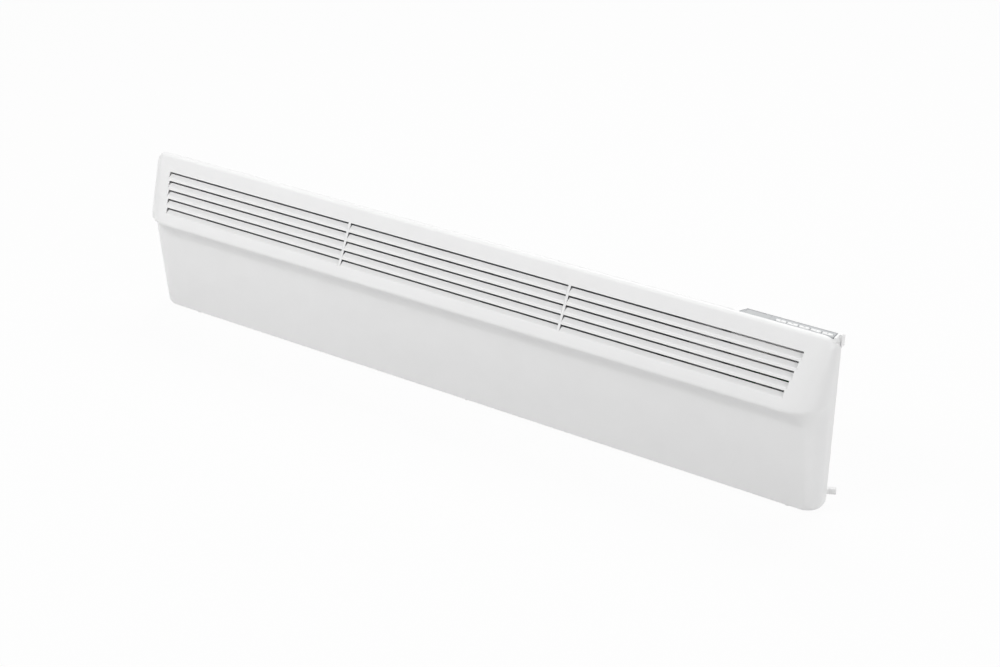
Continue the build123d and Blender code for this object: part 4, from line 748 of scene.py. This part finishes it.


# 1 on the darker line along the back and both ends of the fascia: painted shade, standing for the shadow in the gap
# round the fascia
def shadeLineMark(tree, place):
    inMm = addNode(tree, vectorCalc, {0: place, "Scale": 1 / mm}, operation="SCALE")
    x, y = addNode(tree, "ShaderNodeSeparateXYZ", [inMm]).outputs[:2]
    lean = panel["slant"] / (panel["front"] - panel["back"])
    upright = addNode(tree, calc, [y, -lean, x], operation="MULTIPLY_ADD")
    leftEdge = panel["left"] + lean * panel["front"] + panel["border"]
    atLeft = addNode(tree, calc, [upright, leftEdge], operation="LESS_THAN")
    atRight = addNode(tree, calc, [x, panel["right"] - panel["border"]], operation="GREATER_THAN")
    atBack = addNode(tree, calc, [y, -panel["back"] - panel["border"]], operation="GREATER_THAN")
    ends = addNode(tree, calc, [atLeft, atRight], operation="MAXIMUM")
    return addNode(tree, calc, [ends, atBack], operation="MAXIMUM")


# the fascia's grey paint, with a painted shade line along its back and both ends
fasciaPaintAndShade = finish("paintedFasciaWithShadeLine", **silverPaint, mark=shadeLineMark)
fasciaMesh = plateMesh("controlFascia", loops, bottom, panel["face"], panel["edge"])
addPiece("controlFascia", fasciaMesh, "control_fascia", "grey_plastic", fasciaPaintAndShade)
pane = roundedLoop(box2d(*windowMiddle, windowLength - gap, windowWidth - gap), panel["paneRound"])
paneTop = panel["face"] - panel["paneSunk"]
paneMesh = plateMesh("displayWindow", [pane], paneTop - panel["paneThick"], paneTop, panel["paneEdge"])
addPiece("displayWindow", paneMesh, "display_window", "window_plastic")

# What each key is printed with, in mm from its middle.
# A ring is x, y, radius; a bar is x, y, half length, half width.
keySigns = {
    "power": [("ring", 0, -0.1, 1.15), ("bar", 0, 0.85, 0.16, 0.65)],
    "mode": [("bar", 0, 0.8, 1.2, 0.15), ("bar", 0, 0, 1.2, 0.15), ("bar", 0, -0.8, 1.2, 0.15)],
    "timer": [("ring", 0, 0, 1.25), ("bar", 0, 0.4, 0.14, 0.45), ("bar", 0.3, 0, 0.35, 0.14)],
    "minus": [("bar", 0, 0, 1.1, 0.16)],
    "plus": [("bar", 0, 0, 1.1, 0.16), ("bar", 0, 0, 0.16, 1.1)],
}


# 1 where the key's sign is printed
def signMark(shapes, x):
    def mark(tree, place):
        centred = addNode(tree, vectorCalc, [place, (x * mm, -panel["keyLine"] * mm, 0)], operation="SUBTRACT")
        local = addNode(tree, vectorCalc, {0: centred, "Scale": 1 / mm}, operation="SCALE")
        inked = None
        for kind, atX, atY, *size in shapes:
            moved = addNode(tree, vectorCalc, [local, (atX, atY, 0)], operation="SUBTRACT")
            flat = addNode(tree, vectorCalc, [moved, (1, 1, 0)], operation="MULTIPLY")
            if kind == "ring":
                far = addNode(tree, vectorCalc, [flat], operation="LENGTH").outputs["Value"]
                past = addNode(tree, calc, [far, size[0]], operation="SUBTRACT")
                off = addNode(tree, calc, [past], operation="ABSOLUTE")
                inside = addNode(tree, calc, [off, panel["signLine"]], operation="LESS_THAN")
            else:
                away = addNode(tree, vectorCalc, [flat], operation="ABSOLUTE")
                parts = addNode(tree, "ShaderNodeSeparateXYZ", [away]).outputs
                inX, inY = (addNode(tree, calc, [parts[k], size[k]], operation="LESS_THAN") for k in (0, 1))
                inside = addNode(tree, calc, [inX, inY], operation="MULTIPLY")
            inked = inside if inked is None else addNode(tree, calc, [inked, inside], operation="MAXIMUM")
        return inked
    return mark


capSize = (keyLength - 2 * panel["keyGap"], keyWidth - 2 * panel["keyGap"])
for (sign, shapes), x in zip(keySigns.items(), keyPlaces):
    # white ABS cap with its sign pad printed in grey
    keyName = "key" + sign.capitalize()
    marked = finish("printedKey" + sign.capitalize(), **keyPlastic, mark=signMark(shapes, x))
    loop = roundedLoop(box2d(x, -panel["keyLine"], *capSize), panel["keyRound"])
    cap = plateMesh(keyName, [loop], bottom - gap, panel["face"] + panel["keyProud"], panel["keyEdge"])
    addPiece(keyName, cap, "button_" + sign, "button_plastic", marked, "button_" + sign)
print("control panel made")

# Cable bush on the sloping right side of the casing, turned about its own axis. In mm.
bush = {
    "seat": (476.01, -27.37, 15.5),
    "slope": 25.0,
    # distance out from the seat, radius: flange, waist, ribs of the strain relief and the bore
    "profile": [
        (0.0, 5.45), (0.25, 5.6), (0.75, 5.6), (1.0, 5.4), (1.05, 4.5), (1.6, 4.3), (3.4, 4.3), (3.6, 4.05),
        (4.4, 4.05), (4.6, 4.3), (5.8, 4.3), (6.0, 4.05), (6.8, 4.05), (7.0, 4.3), (8.2, 4.3), (8.4, 4.05),
        (9.2, 4.05), (9.4, 4.3), (11.5, 4.3), (11.9, 4.1), (12.0, 3.8), (11.9, 3.5), (11.6, 3.4), (0.0, 3.4),
    ],
    "steps": 40,
    "sharpAngle": 50.0,
}
slope = math.radians(bush["slope"])
out, upright = Vector((math.cos(slope), math.sin(slope), 0)), Vector((0, 0, 1))
aside = Vector((-out.y, out.x, 0))
work = bmesh.new()
rings = []
for along, radius in bush["profile"]:
    ring = []
    for k in range(bush["steps"]):
        turn = 2 * math.pi * k / bush["steps"]
        point = Vector(bush["seat"]) + out * along + (aside * math.cos(turn) + upright * math.sin(turn)) * radius
        ring.append(work.verts.new((point.x * mm, point.y * mm, underside + point.z * mm)))
    rings.append(ring)
for near, far in zip(rings, rings[1:] + rings[:1]):
    for k in range(bush["steps"]):
        after = (k + 1) % bush["steps"]
        work.faces.new((near[k], near[after], far[after], far[k])).smooth = True
bmesh.ops.recalc_face_normals(work, faces=work.faces)
bushMesh = bpy.data.meshes.new("cableBush")
work.to_mesh(bushMesh)
work.free()
bushMesh.set_sharp_from_angle(angle=math.radians(bush["sharpAngle"]))
addPiece("cableBush", bushMesh, "cable_gland", "white_plastic")
print("cable bush made")

# Cover screws: white pan heads with a cross recess, under the lower front edge. In mm.
screws = {
    "count": 3,
    "first": -422.0,
    "pitch": 432.0,
    "line": 51.1,
    "head": 3.55,
    "height": 2.1,
    "inset": 0.1,  # how far the head stands into the cover, so that no slit shows
    "recess": 3.6,
    "slot": 0.8,
    "steepness": 3.0,  # more gives the head a more upright side
}


def screwTree():
    sizes = ("pitch", "head", "height", "inset", "recess", "slot", "steepness")
    tree = newGeometryTree("coverScrews", {
        "NodeSocketInt": ["count"], "NodeSocketFloat": sizes, "NodeSocketVector": ["first"],
        "NodeSocketMaterial": ["finish"],
    })
    given = addNode(tree, "NodeGroupInput").outputs
    # a tall ball cut flat at both ends makes a pan head with a rounded edge
    flatness = addNode(tree, calc, [given["height"], given["head"]], operation="DIVIDE")
    tall = addNode(tree, calc, [flatness, given["steepness"]], operation="MULTIPLY")
    stretch = addNode(tree, "ShaderNodeCombineXYZ", [1.0, 1.0, tall])
    ball = addNode(tree, "GeometryNodeMeshUVSphere", {"Segments": 32, "Rings": 20, "Radius": given["head"]})
    dome = addNode(tree, "GeometryNodeTransform", {"Geometry": ball, "Scale": stretch})
    sunk = addNode(tree, calc, [given["height"], -1.0], operation="MULTIPLY")
    deep = addNode(tree, "ShaderNodeCombineXYZ", [0.0, 0.0, sunk])
    lowest = addNode(tree, "ShaderNodeCombineXYZ", [-1.0, -1.0, sunk])
    highest = addNode(tree, "ShaderNodeCombineXYZ", [1.0, 1.0, given["inset"]])
    position = addNode(tree, "GeometryNodeInputPosition")
    raised = addNode(tree, vectorCalc, [position, lowest], operation="MAXIMUM")
    levelled = addNode(tree, vectorCalc, [raised, highest], operation="MINIMUM")
    pan = addNode(tree, "GeometryNodeSetPosition", {"Geometry": dome, "Position": levelled})
    smooth = addNode(tree, "GeometryNodeSetShadeSmooth", {"Geometry": pan})
    cross = addNode(tree, "GeometryNodeMeshBoolean", operation="DIFFERENCE", solver="EXACT")
    tree.links.new(smooth.outputs[0], cross.inputs[0])
    for arms in (("recess", "slot"), ("slot", "recess")):
        size = addNode(tree, "ShaderNodeCombineXYZ", [given[arms[0]], given[arms[1]], given["height"]])
        block = addNode(tree, "GeometryNodeMeshCube", {"Size": size})
        lowered = addNode(tree, "GeometryNodeTransform", {"Geometry": block, "Translation": deep})
        tree.links.new(lowered.outputs[0], cross.inputs[1])
    step = addNode(tree, "ShaderNodeCombineXYZ", [given["pitch"], 0.0, 0.0])
    course = {"Count": given["count"], "Start Location": given["first"], "Offset": step}
    line = addNode(tree, "GeometryNodeMeshLine", course)
    heads = addNode(tree, "GeometryNodeInstanceOnPoints", {"Points": line, "Instance": cross})
    endTree(tree, heads, given["finish"])
    return tree


screwPiece = grow("coverScrews", screwTree(), {
    **{name: screws[name] * mm for name in ("pitch", "head", "height", "inset", "recess", "slot")},
    "count": screws["count"],
    "steepness": screws["steepness"],
    "first": (screws["first"] * mm, -screws["line"] * mm, underside),
    "finish": finishes["white_powder_coat"],
})
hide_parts("cover_screws")
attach(screwPiece, "heater")
print("cover screws made,", len(screwPiece.data.polygons), "faces")
